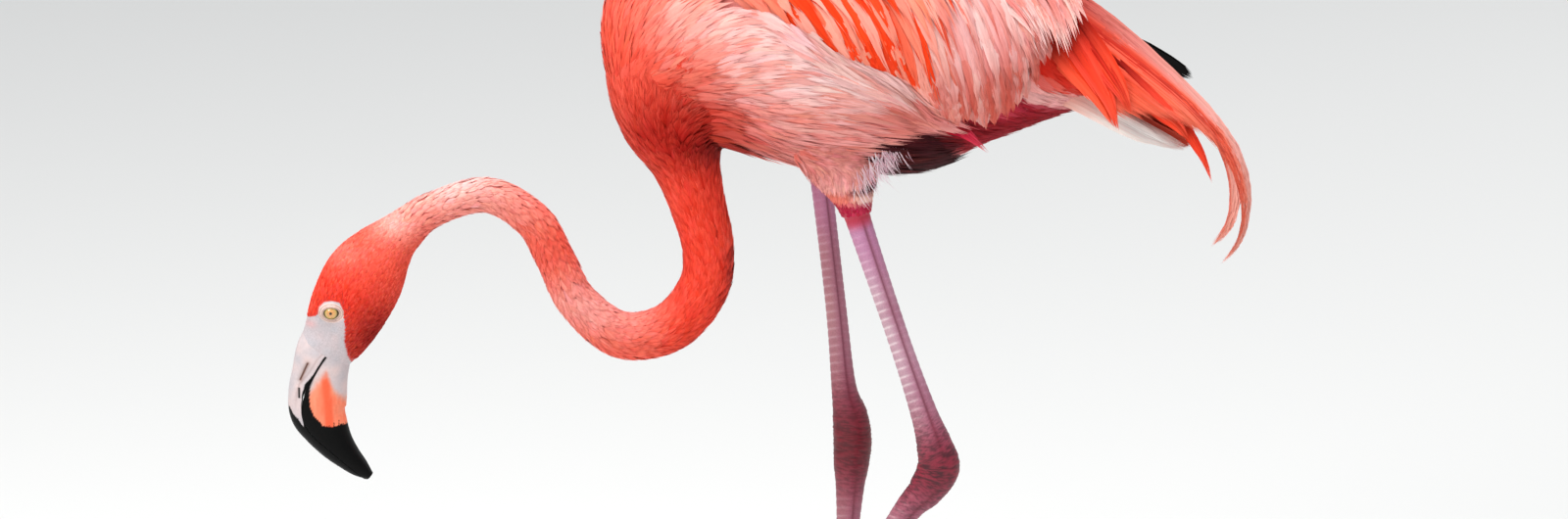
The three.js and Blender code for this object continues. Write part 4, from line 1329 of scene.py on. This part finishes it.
def body_coat():
    rng = np.random.default_rng(13)
    u, a = scatter(trunk_skin, (0.25, 12.6), 6.2, 6.2, rng)
    p = trunk_skin.point(u, a)
    x, z = p[:, 0], p[:, 2]
    hidden = under_wing(x, z) & (np.abs(p[:, 1]) > 12) & (x > -80)
    keep = ~hidden & (in_neck(p) < 0.3 + 0.5 * ramp(x, -84, -66))
    u, a, p = u[keep], a[keep], p[keep]
    x, z = p[:, 0], p[:, 2]
    above = above_edge(x, z)
    over_wing = np.exp(-(((above + 8) / 12) ** 2)) * ramp(x, -75, -30) * ramp(-x, -120, -100)
    length = np.interp(x, [-140, -90, 0, 120, 220], [38, 50, 78, 62, 40]) * rng.uniform(0.85, 1.2, len(u))
    length = length * (1 - 0.45 * ramp(-z, -606, -580) * ramp(x, 60, 110))
    tip = 5 + 7 * over_wing + rng.uniform(-0.6, 0.6, len(u)) + 3 * ramp(-z, -600, -570) * ramp(-x, -110, -80)
    path, normal = lay(trunk_skin, u, a, length, body_lie, (0.3, tip), nodes=7)
    stray = (np.interp(path[-1][:, 0], *BELLY_LINE) - path[-1][:, 2] > 4) & (x > 45) & (x < 112)
    stray &= np.interp(x, *BELLY_LINE) < z
    end = path[-1]
    stray |= (above_edge(end[:, 0], end[:, 2]) > 5) & (end[:, 0] > -30) & (end[:, 2] < 722) & (np.abs(end[:, 1]) > 30)
    chosen = ~stray
    u, a, x, z, path, normal = u[chosen], a[chosen], x[chosen], z[chosen], path[:, chosen], normal[:, chosen]
    colour = body_colour(path[4])
    bold = ramp(rng.uniform(0, 1, len(u)), 0.5, 1) * ramp(-x, -80, 20) * ramp(x, -110, -60)
    colour = varied(mix(colour, (240, 96, 76), 0.4 * bold), rng, 5)
    dark = ramp(-colour[:, 0], -225, -180)
    place = unwrap(trunk_skin, u, a)
    groups = {
        "coat_breast": x < -62,
        "coat_flanks": (x >= -62) & (z < 690) & (x < 40),
        "coat_belly": (x >= 40) & (z < 690),
        "coat_back": (x >= -62) & (z >= 690),
    }
    for name, chosen in groups.items():
        coat = Coat()
        pale = np.clip(colour[chosen] * 0.5 + np.array(PALE) * 0.5 + 4, 0, 255)
        share = (1 - dark[chosen]) * (0.3 if name != "coat_breast" else 0.15)
        feathers(coat, path[:, chosen], normal[:, chosen], rng.uniform(10, 14, chosen.sum()), colour[chosen],
                 place[chosen], rng, barbs=6, stations=5, tip=0.4, cut=0.5, ragged=0.25, camber=0.03,
                 tips=(pale, share), roots=(body_colour(path[1][chosen]), 0.8, 0.5), lift=0.15, thin=0.12, full=2.3,
                 vary=4, round_=0.16)
        if name == "coat_flanks":
            belly_fringe(coat, rng)
        coat.build(name, "plumage")


CRIMSON_TUFT = [[108, -60, 604], [126, -62, 597], [143, -60, 585], [157, -57, 571]]


def belly_fringe(coat, rng):
    """Fine pale hairs that hang from the flank's lower edge, and a pointed crimson tuft on each side."""
    count = 170
    for side in (LEFT, RIGHT):
        x = rng.triangular(50, 74, 94, count)
        z = np.interp(x, *BELLY_LINE) + rng.uniform(-10, 6, count)
        q = np.linspace(0, 1, 6)[:, None]
        length = rng.uniform(12, 28, count)
        lean = rng.normal(0.15, 0.22, count)
        y = side * (np.interp(x, [30, 60, 110], [66, 66, 62]) - 4 + rng.uniform(-1.5, 2.0, count))
        fall = q * length
        path = np.stack([x + fall * lean + 0.2 * fall * q, y - side * fall * 0.34 * q, z - fall * 0.9], -1)
        normal = np.broadcast_to(unit(np.array([0, side, -0.3])), path.shape)
        colour = mix(plain((252, 236, 240), x[:, None] * [1, 1, 1]), (214, 150, 170), rng.uniform(0, 0.8, count))
        place = np.column_stack([0.5 + 0.25 * side + x / 1000, 0.4 + x / 1000, np.full(count, 0.002)])
        feathers(coat, path, normal, np.full(count, 0.7), colour, place, rng, barbs=2, stations=6, tip=0.25,
                 ragged=0.3, lift=0.2, full=0.8)
        line = between(CRIMSON_TUFT, np.linspace(0, 3, 8))[:, None] * [1, -side, 1]
        spread = np.linspace(-1, 1, 9)[None, :, None]
        narrow = (1 - np.linspace(0, 1, 8))[:, None, None]
        path = line + spread * np.array([4.0, 0, 6.6]) * narrow
        normal = np.broadcast_to(unit(np.array([-0.1, side, 0.2])), path.shape)
        place = np.column_stack([np.linspace(0.3, 0.4, 9), np.full(9, 0.7), np.full(9, 0.002)])
        colour = varied(plain((206, 30, 62), np.zeros((9, 3))), rng, 10)
        feathers(coat, path, normal, np.full(9, 4.5), colour, place, rng, barbs=4, stations=7, tip=0.1, cut=0.5,
                 ragged=0.3, tips=((240, 116, 120), 0.6), lift=0.6, thin=0.2)


# how steeply the wing's feathers fall, in degrees, at places along the body
WING_LIE = ([-100, -40, 25, 67, 120, 180, 210], [24, 40, 52, 66, 73, 84, 76])


def wing_lie(p):
    x, z = p[..., 0], p[..., 2]
    degrees = -np.interp(x, *WING_LIE)
    return lie(degrees * (1 - 0.8 * ramp(z, 695, 742)))


def wing_strand(x, z):
    """Where the line of feathers through a point crosses the middle of the wing's height."""
    grid = np.linspace(-110, 240, 176)
    slope = np.tan(np.radians(np.interp(grid, *WING_LIE)))
    drop = np.cumsum(slope) * (grid[1] - grid[0])
    return np.interp(np.interp(x, grid, drop) + z - 680, drop, grid)


STRAND_PERIOD = 14


def wing_colour(p, rng):
    """Colours of the wing's feathers by the middle of each, their tips and rims: vermilion in front, pale behind, with
    painted shade: darker red low between the pale strands and at the tips behind.
    """
    x, z = p[..., 0], p[..., 2]
    strand = np.stack([wing_strand(x, z), 0 * x, 0 * x], -1)
    wave = 0.5 + 0.5 * np.sin(2 * math.pi * (strand[..., 0] + 14 * noise(strand, 11, 71)) / STRAND_PERIOD)
    luck = 0.9 * wave + 0.1 * rng.uniform(0, 1, x.shape)
    front = ramp(-x, -118, -92)
    soft = 0.25 + 0.5 * luck
    colour = mix(plain((238, 146, 138), p), (252, 208, 204), soft)
    # painted shade: darker red low on the wing between the pale strands
    colour = mix(colour, (216, 88, 70), 0.8 * ramp(-z, -674, -632) * ramp(-soft, -0.9, -0.25))
    colour = mix(colour, mix(plain((250, 104, 72), p), (248, 152, 132), luck), front)
    vivid = ramp(patch(p, (62, 674), (52, 90)) - 1.1 * luck, 0.12, 0.36)
    colour = mix(colour, (250, 64, 20), vivid)
    colour = mix(colour, (250, 170, 152), 0.6 * ramp(luck, 0.75, 0.95) * front)
    colour = mix(colour, (250, 180, 168), ramp(z, 715, 745) * 0.7)
    colour = mix(colour, (248, 126, 104), ramp(-x, -12, 50) * 0.7)
    # painted shade: the tips behind the front are darkened to red, where the strands part
    tips = mix(colour, (212, 74, 58), (1 - front) * (0.9 - 0.5 * soft))
    rims = mix(colour, PALE, 0.75 - 0.5 * front)
    return colour, tips, rims


def wing_coat(side):
    """Coverts and long scapulars that hang over one folded wing."""
    rng = np.random.default_rng(20 + side)
    coat = Coat()
    u, a = scatter(trunk_skin, (1.6, 11.6), 9, 8.5, rng)
    p = trunk_skin.point(u, a)
    above = above_edge(p[:, 0], p[:, 2])
    keep = (above > 7 - 6 * ramp(-p[:, 0], 0, 40)) & (p[:, 1] * side > 6) & (p[:, 0] > -104) & (p[:, 0] < 194)
    u, a, p, above = u[keep], a[keep], p[keep], above[keep]
    length = np.interp(p[:, 0], [-100, -60, 20, 100, 190], [36, 60, 108, 122, 90]) * rng.uniform(0.85, 1.15, len(u))
    probe, _ = lay(trunk_skin, u, a, length, wing_lie, (0, np.zeros(len(u))), nodes=9)
    limit = np.where(probe[..., 0] < 116, -14, rng.uniform(-6, 8, len(u)))
    ok = above_edge(probe[..., 0], probe[..., 2]) > limit
    share = np.maximum(np.cumprod(ok, axis=0).sum(0) - 1, 1) / 8
    length = np.maximum(length * share, 16)
    tip = BODY_COAT + rng.uniform(-0.5, 2.0, len(u)) + 5 * ramp(p[:, 0], 90, 160)
    path, normal = lay(trunk_skin, u, a, length, wing_lie, (0.6, tip), nodes=9)
    tucked = (1 - ramp(above_edge(path[..., 0], path[..., 2]), -8, 14)) * (path[..., 0] < 118)
    path = path - normal * (tucked * (tip - 1))[..., None]
    colour, tips, rims = wing_colour(path[4], rng)
    colour = varied(colour, rng, 5)
    feathers(coat, path, normal, rng.uniform(9, 14, len(u)), colour, unwrap(trunk_skin, u, a), rng, barbs=7,
             stations=7, tip=0.12, cut=0.6, ragged=0.15, camber=0.05, tips=(tips, 0.85), rims=(rims, 0.4), lift=0.2,
             thin=0.12, full=2.2, vary=4, round_=0.22)
    name = "left" if side == LEFT else "right"
    coat.build(f"coat_wing_{name}", "wing_feathers")


def arcs(starts, middles, ends, nodes=9):
    """Curved paths from starts through middles to ends, as [node, feather, 3]."""
    rows = np.stack([starts, middles, ends]).reshape(3, -1)
    return between(rows, np.linspace(0, 2, nodes)).reshape(nodes, -1, 3)


def rear_scapulars(side, coat, rng):
    """Pale plumes that hang from the back over the root of the train."""
    count = 60
    t = np.clip(np.linspace(0, 1, count) + rng.uniform(-0.02, 0.02, count), 0, 1)
    starts = np.column_stack([156 + 44 * t + rng.uniform(-4, 4, count), -46 + 20 * t, 700 + rng.uniform(-6, 10, count)])
    end_x = np.interp(t, [0, 0.4, 0.75, 1], [191, 203, 219, 230])
    end_z = np.interp(t, [0, 0.4, 0.75, 1], [646, 650, 641, 672]) + rng.uniform(-3, 20, count) * (1 - 0.5 * t)
    ends = np.column_stack([end_x, -64 + 14 * t, end_z])
    middles = (starts + ends) / 2 + np.column_stack([2 + 3 * t, -7 - 4 * t, 3 + 4 * t])
    path = arcs(starts, middles, ends) * [1, -side, 1]
    normal = unit(np.array([0.15, side, 0.35])) * np.ones_like(path)
    colour = varied(mix(plain((250, 196, 190), starts), (240, 132, 120), rng.uniform(0, 0.9, count)), rng, 5)
    place = np.column_stack([0.25 + 0.3 * t, np.full(count, 0.85), np.full(count, 0.002)])
    feathers(coat, path, normal, rng.uniform(5, 8, count), colour, place, rng, barbs=6, stations=8, tip=0.1, cut=0.6,
             ragged=0.3, camber=0.05, tips=((255, 226, 220), 0.6), lift=0.5, thin=0.14, full=2.0, vary=4, round_=0.3)


def train_point(side, s, t, out):
    """A point of the drooping train: s from its root to its end, t from its upper edge to its lower."""
    top, low = between(TRAIN_TOP, s * (len(TRAIN_TOP) - 1)), between(TRAIN_LOW, s * (len(TRAIN_LOW) - 1))
    width = np.linalg.norm(top - low, axis=-1)
    p = mix(top, low, t)
    over = np.minimum(TRAIN_BULGE, width / 4) * np.sin(math.pi * np.clip(t, 0, 1)) + out
    over = over * ramp(s, 0.02, 0.3) - 5 * ramp(-s, -0.2, 0)
    p = p + np.stack([0 * over, -over, 0.3 * over], -1)
    p[..., 1] = p[..., 1] * (0.76 + 0.24 * ramp(s, 0.06, 0.28))
    return train_side(p, side)


def train_side(p, side):
    """Places given for the left train, on either side. The right one is a little shorter and lower."""
    if side == RIGHT:
        first = np.array(TRAIN_TOP[0])
        p = first + (p - first) * RIGHT_TRAIN_SCALE - [0, 0, RIGHT_TRAIN_LOWER]
    return p * [1, -side, 1]


def train_colour(f, rng):
    """Colour of each plume along it: pale at the upper edge, a painted highlight; vermilion below. The deep red at the
    root, painted shade, is added by train_coat.
    """
    luck = rng.uniform(0, 1, f.shape)
    colour = mix(plain((250, 70, 42), f[:, None] * [1, 1, 1]), (248, 116, 92), luck * (1 - 0.4 * f))
    colour = mix(colour, (250, 52, 22), ramp(f, 0.45, 0.7) * 0.6)
    colour = mix(colour, (190, 20, 12), 0.9 * np.exp(-(((f - 0.36) / 0.04) ** 2)))
    # painted highlight: pale pink along the train's upper edge
    return mix(colour, (250, 172, 162), ramp(-f, -0.3, -0.08))


def train_coat(side):
    rng = np.random.default_rng(30 + side)
    coat = Coat()
    nodes = 12
    layers = 3
    plumes = 36
    f = np.tile(np.linspace(0, 1, plumes), layers) + rng.uniform(-0.012, 0.012, plumes * layers)
    f = np.clip(f, 0, 1)
    level = np.repeat(np.arange(layers), plumes)
    q = np.linspace(0, 1, nodes)[:, None]
    end = np.interp(f, [0, 0.2, 0.3, 0.34, 0.5, 0.75, 1], [1, 0.98, 0.9, 0.66, 0.54, 0.42, 0.32])
    end = end - 0.05 * level * rng.uniform(0.3, 1.2, f.shape) * ramp(f, 0.15, 0.3)
    begin = np.maximum(0.0 + 0.06 * level - 0.02, 0)
    s = begin + (end - begin) * q
    t = f * (0.42 + 0.34 * ramp(s, 0.05, 0.36)) + (0.04 + 0.2 * f) * q**1.5
    out = 1.2 + 3.2 * f - 1.4 * level + 1.5 * q * f
    path = train_point(side, s, np.clip(t, 0, 1.06), out)
    ahead = unit(np.gradient(path, axis=0))
    across = unit(train_point(side, s, np.clip(t, 0, 1) + 0.03, out) - path)
    normal = unit(np.cross(ahead, across))
    normal = normal * np.sign(normal[..., 1:2] * side + 1e-6)
    width = np.interp(f, [0, 0.3, 0.5, 1], [14, 12, 12, 12]) * rng.uniform(0.85, 1.15, f.shape)
    colour = varied(train_colour(f, rng), rng, 6)
    tips = mix(colour, (255, 158, 132), 0.75 * np.ones(len(f)))
    rims = mix(colour, (252, 158, 138), 0.6 * np.ones(len(f)))
    place = np.column_stack([0.05 + 0.9 * f, 0.1 + 0.25 * level, np.full(len(f), 0.002)])
    # painted shade: the plumes' roots are deep red, where they lie under the wing and scapulars
    feathers(coat, path, normal, width, colour, place, rng, barbs=9, stations=9, fan=0.6, tip=0.3, cut=0.25, ragged=0.1,
             camber=0.05, tips=(tips, 0.7), rims=(rims, 0.3), roots=((150, 20, 14), 0.9, 0.5), lift=0.3, thin=0.16, full=1.9,
             vary=5, round_=0.35)
    for line, half in LOOSE_PLUMES:
        loose_plumes(side, coat, line, half, rng)
    rear_scapulars(side, coat, rng)
    name = "left" if side == LEFT else "right"
    coat.build(f"coat_train_{name}", "wing_feathers", [f"train_{name}"])


# Bunches of plumes whose tips leave the train's low edge: the middle line and half the width at the root.
LOOSE_PLUMES = [
    ([[196, -34, 676], [222, -49, 644], [243, -55, 613], [254, -54, 586]], 13),
    ([[210, -32, 678], [236, -48, 648], [255, -54, 620], [264, -51, 599]], 9),
    ([[240, -38, 642], [272, -43, 615], [297, -42, 592], [309, -38, 576]], 8),
    ([[286, -34, 608], [306, -36, 585], [319, -34, 562], [326, -33, 541]], 4),
]


def loose_plumes(side, coat, line, half, rng):
    count = 9
    off = np.linspace(-1, 1, count)
    rows = train_side(between(line, np.linspace(0, 3, 10)), side)[:, None]
    ahead = unit(np.gradient(rows, axis=0))
    over = unit(np.cross(np.array([0, 1.0, 0]), ahead))
    narrow = (1 - 0.9 * np.linspace(0, 1, 10) ** 1.3)[:, None, None]
    path = rows + over * (off[:, None] * half) * narrow - ahead * (np.abs(off)[:, None] * 6) * (1 - narrow)
    path = path + np.array([0, side * 2.0, 0]) * rng.uniform(0, 1, (1, count, 1))
    normal = unit(np.array([0.1, side, 0.3])) * np.ones_like(path)
    colour = mix(plain((250, 58, 28), path[0]), (206, 32, 20), rng.uniform(0, 1, count) ** 2)
    colour = mix(colour, (252, 96, 68), rng.uniform(0, 0.6, count))
    place = np.column_stack([0.6 + 0.02 * off, np.full(count, 0.9), np.full(count, 0.002)])
    # painted shade: the plumes' roots are deep red, under the wing and the pale tuft
    feathers(coat, path, normal, np.full(count, half * 0.62), varied(colour, rng, 6), place, rng, barbs=6, stations=8,
             fan=0.7, tip=0.25, cut=0.4, ragged=0.12, camber=0.05, tips=((246, 106, 78), 0.5), roots=((140, 18, 12), 0.95, 0.5),
             lift=0.4, thin=0.16, full=1.9, vary=5, round_=0.35)


def bezier_path(points, nodes):
    """Points along a Catmull-Rom line through a few places."""
    return between(points, np.linspace(0, len(points) - 1, nodes))


def primaries(side):
    rng = np.random.default_rng(40 + side)
    coat = Coat()
    paths, normals = [], []
    for k in range(4):
        line = bezier_path(PRIMARIES[k % 2], 10) * [1, -side, 1]
        line = line + np.array([-6.0 * (k // 2), side * 1.2 * k, -2.5 * k])
        ahead = unit(np.gradient(line, axis=0))
        normal = unit(np.cross(ahead, np.cross([0, side * 1.0, 0.25], ahead)))
        paths.append(line)
        normals.append(normal)
    path, normal = np.stack(paths, 1), np.stack(normals, 1)
    place = np.column_stack([np.linspace(0.2, 0.8, 4), np.full(4, 0.3), np.full(4, 0.004)])
    colour = np.full((4, 3), 8.0)
    feathers(coat, path, normal, np.full(4, 15.0), colour, place, rng, barbs=13, stations=14, fan=0.7, tip=0.5,
             cut=0.1, ragged=0.0, camber=0.06, vary=2, lift=0.1, thin=0.16, full=2.6, round_=0.3)
    name = "left" if side == LEFT else "right"
    coat.build(f"coat_primaries_{name}", "flight_feathers", [f"primaries_{name}"])


def tail_coat():
    rng = np.random.default_rng(50)
    coat = Coat()
    count = 14
    layers = 2
    f = np.tile(np.linspace(-1, 1, count), layers)
    level = np.repeat(np.arange(layers), count)
    q = np.linspace(0, 1, 9)[:, None]
    reach = (1 - 0.16 * f**2 - 0.1 * level) * q
    row = between(TAIL, reach * (len(TAIL) - 1))
    x, z, depth, width = row[..., 0], row[..., 2], row[..., 3], row[..., 4]
    y = f * np.maximum(width, 10) * (0.85 + 0.3 * q)
    z = z + depth * (0.8 * np.cos(f * 1.2)) * (1 - 1.7 * level) * 0.6 - 2.5 * np.abs(f) * q
    path = np.stack([x, y + 0 * x, z], -1)
    ahead = unit(np.gradient(path, axis=0))
    up = np.stack([np.full(len(f), 0.2), 1.2 * f, np.where(level == 0, 0.8, 0.1)], -1)[None]
    normal = unit(up - ahead * np.sum(up * ahead, -1, keepdims=True))
    # painted shade: the middle feathers, under the train, are tinted red-salmon; the outer ones stay white
    colour = mix(plain(WHITE, f[:, None] * [1, 1, 1]), (214, 96, 72), ramp(0.25 * (level == 0) - np.abs(f), -0.6, -0.45))
    place = np.column_stack([0.5 + 0.4 * f, 0.2 + 0.4 * level, np.full(len(f), 0.004)])
    feathers(coat, path, normal, np.full(len(f), 14.0), colour, place, rng, barbs=10, stations=7, fan=0.8, tip=0.5,
             cut=0.25, ragged=0.05, camber=0.04, vary=4, lift=0.2, thin=0.15, full=2.0, round_=0.3,
             rims=((250, 170, 144), 0.15), roots=((238, 150, 132), 0.9, 0.45))
    coat.build("coat_tail", "plumage", ["tail"])


def thigh_lie(p):
    down = ramp(-p[..., 2], -570, -552)[..., None]
    return lie(np.full(p.shape[:-1], -8.0)) * (1 - down) + np.array([0.15, 0, -1.0]) * down


def thigh_coat():
    """The body's coat over the top of each thigh, and the short feathers that end it above the bare shank."""
    rng = np.random.default_rng(60)
    coat = Coat()
    for side in (LEFT, RIGHT):
        form = leg_skins[side]
        end = 531 if side == LEFT else 543
        u, a = scatter(form, (0.2, 2.95), 3.4, 2.8, rng)
        p = form.point(u, a)
        x, z = p[:, 0], p[:, 2]
        length = np.interp(z, [end, end + 18, 575], [5, 11, 34]) * rng.uniform(0.8, 1.15, len(u))
        tip = np.interp(z, [end, end + 15, 575], [0.5, 2.5, THIGH_COAT + 2]) + rng.uniform(-0.2, 0.3, len(u))
        path, normal = lay(form, u, a, length, thigh_lie, (0.1, tip), nodes=6)
        # painted shade: a dark maroon band where the flank's feathers hang over the thigh
        colour = mix(body_colour(p), (110, 16, 34), ramp(-z, -566, -559) * ramp(x, 58, 74))
        stub = mix(plain((240, 128, 112), p), (246, 196, 184), ramp(x, 44, 60))
        colour = mix(colour, stub, ramp(-z, -end - 22, -end - 12))
        colour = mix(colour, (186, 40, 70), ramp(-z, -end - 8, -end))
        near = np.linalg.norm(path - path[:1], axis=-1).max(0) < 1.3 * length + 8
        path, normal, colour, place, z = path[:, near], normal[:, near], colour[near], unwrap(form, u, a)[near], z[near]
        feathers(coat, path, normal, np.interp(z, [end, 575], [2.6, 8]), varied(colour, rng, 6), place, rng,
                 barbs=4, stations=5, tip=0.4, ragged=0.25, lift=0.12, thin=0.14, full=2.0, vary=4, round_=0.25)
    coat.build("coat_thighs", "plumage")


# ---------------------------------------------------------------- materials


def node_tree(name):
    material = bpy.data.materials.new(name)
    material.use_nodes = True
    tree = material.node_tree
    return material, tree, tree.nodes["Principled BSDF"]


def coloured(tree, shader, strength, scale, detail=4, stretch=None, spot=0.0):
    """Connects the Col attribute, varied by a noise, to the shader's colour."""
    colour = tree.nodes.new("ShaderNodeVertexColor")
    colour.layer_name = "Col"
    grain = tree.nodes.new("ShaderNodeTexNoise")
    grain.inputs["Scale"].default_value = scale
    grain.inputs["Detail"].default_value = detail
    if stretch:
        uv = tree.nodes.new("ShaderNodeUVMap")
        uv.uv_map = "Strand"
        mapping = tree.nodes.new("ShaderNodeMapping")
        mapping.inputs["Scale"].default_value = stretch
        tree.links.new(uv.outputs["UV"], mapping.inputs["Vector"])
        tree.links.new(mapping.outputs["Vector"], grain.inputs["Vector"])
    else:
        place = tree.nodes.new("ShaderNodeTexCoord")
        tree.links.new(place.outputs["Object"], grain.inputs["Vector"])
    level = tree.nodes.new("ShaderNodeMapRange")
    level.inputs["From Min"].default_value = 0.3
    level.inputs["From Max"].default_value = 0.7
    level.inputs["To Min"].default_value = 1 - strength
    level.inputs["To Max"].default_value = 1 + strength * 0.6
    blend = tree.nodes.new("ShaderNodeMix")
    blend.data_type = "RGBA"
    blend.blend_type = "MULTIPLY"
    blend.inputs["Factor"].default_value = 1.0
    tree.links.new(grain.outputs["Fac"], level.inputs["Value"])
    tree.links.new(colour.outputs["Color"], blend.inputs["A"])
    tree.links.new(level.outputs["Result"], blend.inputs["B"])
    tree.links.new(blend.outputs["Result"], shader.inputs["Base Color"])
    return grain


def bumped(tree, shader, grain, distance, strength=1.0):
    bump = tree.nodes.new("ShaderNodeBump")
    bump.inputs["Distance"].default_value = distance * MM
    bump.inputs["Strength"].default_value = strength
    tree.links.new(grain.outputs["Fac"], bump.inputs["Height"])
    tree.links.new(bump.outputs["Normal"], shader.inputs["Normal"])


def feather_material(name, roughness, sheen, strength=0.12):
    material, tree, shader = node_tree(name)
    grain = coloured(tree, shader, strength, 6.0, 3, stretch=(1.2, 1.5, 1))
    bumped(tree, shader, grain, 0.15, 0.5)
    shader.inputs["Roughness"].default_value = roughness
    shader.inputs["Sheen Weight"].default_value = sheen
    shader.inputs["Sheen Roughness"].default_value = 0.5
    shader.inputs["Specular IOR Level"].default_value = 0.1
    return material


def horn_material(name, roughness, coat, strength, scale, bump, specular=0.35):
    material, tree, shader = node_tree(name)
    grain = coloured(tree, shader, strength, scale)
    bumped(tree, shader, grain, bump, 0.6)
    shader.inputs["Roughness"].default_value = roughness
    shader.inputs["Specular IOR Level"].default_value = specular
    shader.inputs["Coat Weight"].default_value = coat
    shader.inputs["Coat Roughness"].default_value = 0.12
    return material


def floor_material():
    material, tree, shader = node_tree("floor")
    grain = tree.nodes.new("ShaderNodeTexNoise")
    grain.inputs["Scale"].default_value = 3.0
    shader.inputs["Base Color"].default_value = (0.80, 0.80, 0.785, 1)
    shader.inputs["Roughness"].default_value = 0.9
    bumped(tree, shader, grain, 0.1, 0.2)
    return material


MATERIALS = {
    "plumage": feather_material("plumage", 0.75, 0.02),
    "wing_feathers": feather_material("wing_feathers", 0.65, 0.02),
    "flight_feathers": feather_material("flight_feathers", 0.5, 0.02, 0.3),
    "leg_skin": horn_material("leg_skin", 0.5, 0.15, 0.14, 900, 0.12),
    "bill_horn": horn_material("bill_horn", 0.5, 0.02, 0.06, 500, 0.05, 0.1),
    "eye": horn_material("eye", 0.12, 1.0, 0.05, 800, 0.0),
    "claw": horn_material("claw", 0.4, 0.2, 0.2, 600, 0.06),
}


def finish_piece(piece, slot, nodes):
    piece.data.materials.clear()
    piece.data.materials.append(MATERIALS[slot])
    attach(piece, "root")
    if nodes:
        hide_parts(*nodes)


# ---------------------------------------------------------------- the bird

FLESH = ["head", "trunk", "wing_left", "wing_right"] + [f"neck_{k}" for k in range(1, 7)]
FLESH += [f"{part}_{side}" for part in ("thigh", "shank", "ankle", "tarsus", "foot") for side in ("left", "right")]

skin = build_skin()
finish_piece(skin, "leg_skin", FLESH)
for side, name, stance in ((LEFT, "left", FOOT_LEFT), (RIGHT, "right", FOOT_RIGHT)):
    finish_piece(eyeball(side), "eye", [f"eye_{name}"])
    for k, line in enumerate(foot(side, stance)[1]):
        horn, node = claw(side, k, line)
        finish_piece(horn, "claw", [node])
finish_piece(mandible(-1), "bill_horn", ["bill_upper"])
finish_piece(mandible(1), "bill_horn", ["bill_lower"])

head_coat()
neck_coat()
body_coat()
for side in (LEFT, RIGHT):
    wing_coat(side)
    train_coat(side)
    primaries(side)
tail_coat()
thigh_coat()

# ---------------------------------------------------------------- stage, light and camera

TARGET = np.array([HOME[0], 0, 475]) * MM
ELEVATION = 14.5
DISTANCE = 7.0


def floor():
    mesh = bpy.data.meshes.new("floor")
    half = 20
    mesh.from_pydata([(-half, -half, 0), (half, -half, 0), (half, half, 0), (-half, half, 0)], [], [(0, 1, 2, 3)])
    mesh.materials.append(floor_material())
    piece = bpy.data.objects.new("floor", mesh)
    bpy.context.scene.collection.objects.link(piece)


def area_light(name, place, aim, size, power, colour=(1, 1, 1)):
    data = bpy.data.lights.new(name, "AREA")
    data.shape = "DISK"
    data.size = size
    data.energy = power
    data.color = colour
    lamp = bpy.data.objects.new(name, data)
    lamp.location = place
    lamp.rotation_euler = (mathutils.Vector(aim) - lamp.location).to_track_quat("-Z", "Y").to_euler()
    bpy.context.scene.collection.objects.link(lamp)


def camera():
    data = bpy.data.cameras.new("camera")
    data.lens = 210
    data.sensor_width = 36
    data.clip_end = 100
    piece = bpy.data.objects.new("camera", data)
    rise = math.radians(ELEVATION)
    away = np.array([0, -math.cos(rise), math.sin(rise)]) * DISTANCE
    piece.location = TARGET + away
    piece.rotation_euler = (math.pi / 2 - rise, 0, 0)
    bpy.context.scene.collection.objects.link(piece)
    bpy.context.scene.camera = piece


import mathutils

floor()
area_light("overhead", (-0.4, -0.6, 3.2), (0, 0, 0.5), 2.2, 80)
area_light("key", (-2.2, -2.6, 2.4), (0, 0, 0.5), 1.4, 46, (1, 0.98, 0.95))
area_light("fill", (2.6, 2.8, 2.0), (0, 0, 0.5), 2.0, 24)
camera()
world = bpy.data.worlds.new("world")
world.use_nodes = True
world.node_tree.nodes["Background"].inputs["Color"].default_value = (0.95, 0.97, 1.0, 1)
world.node_tree.nodes["Background"].inputs["Strength"].default_value = 0.6
bpy.context.scene.world = world
bpy.context.scene.view_settings.view_transform = "Standard"
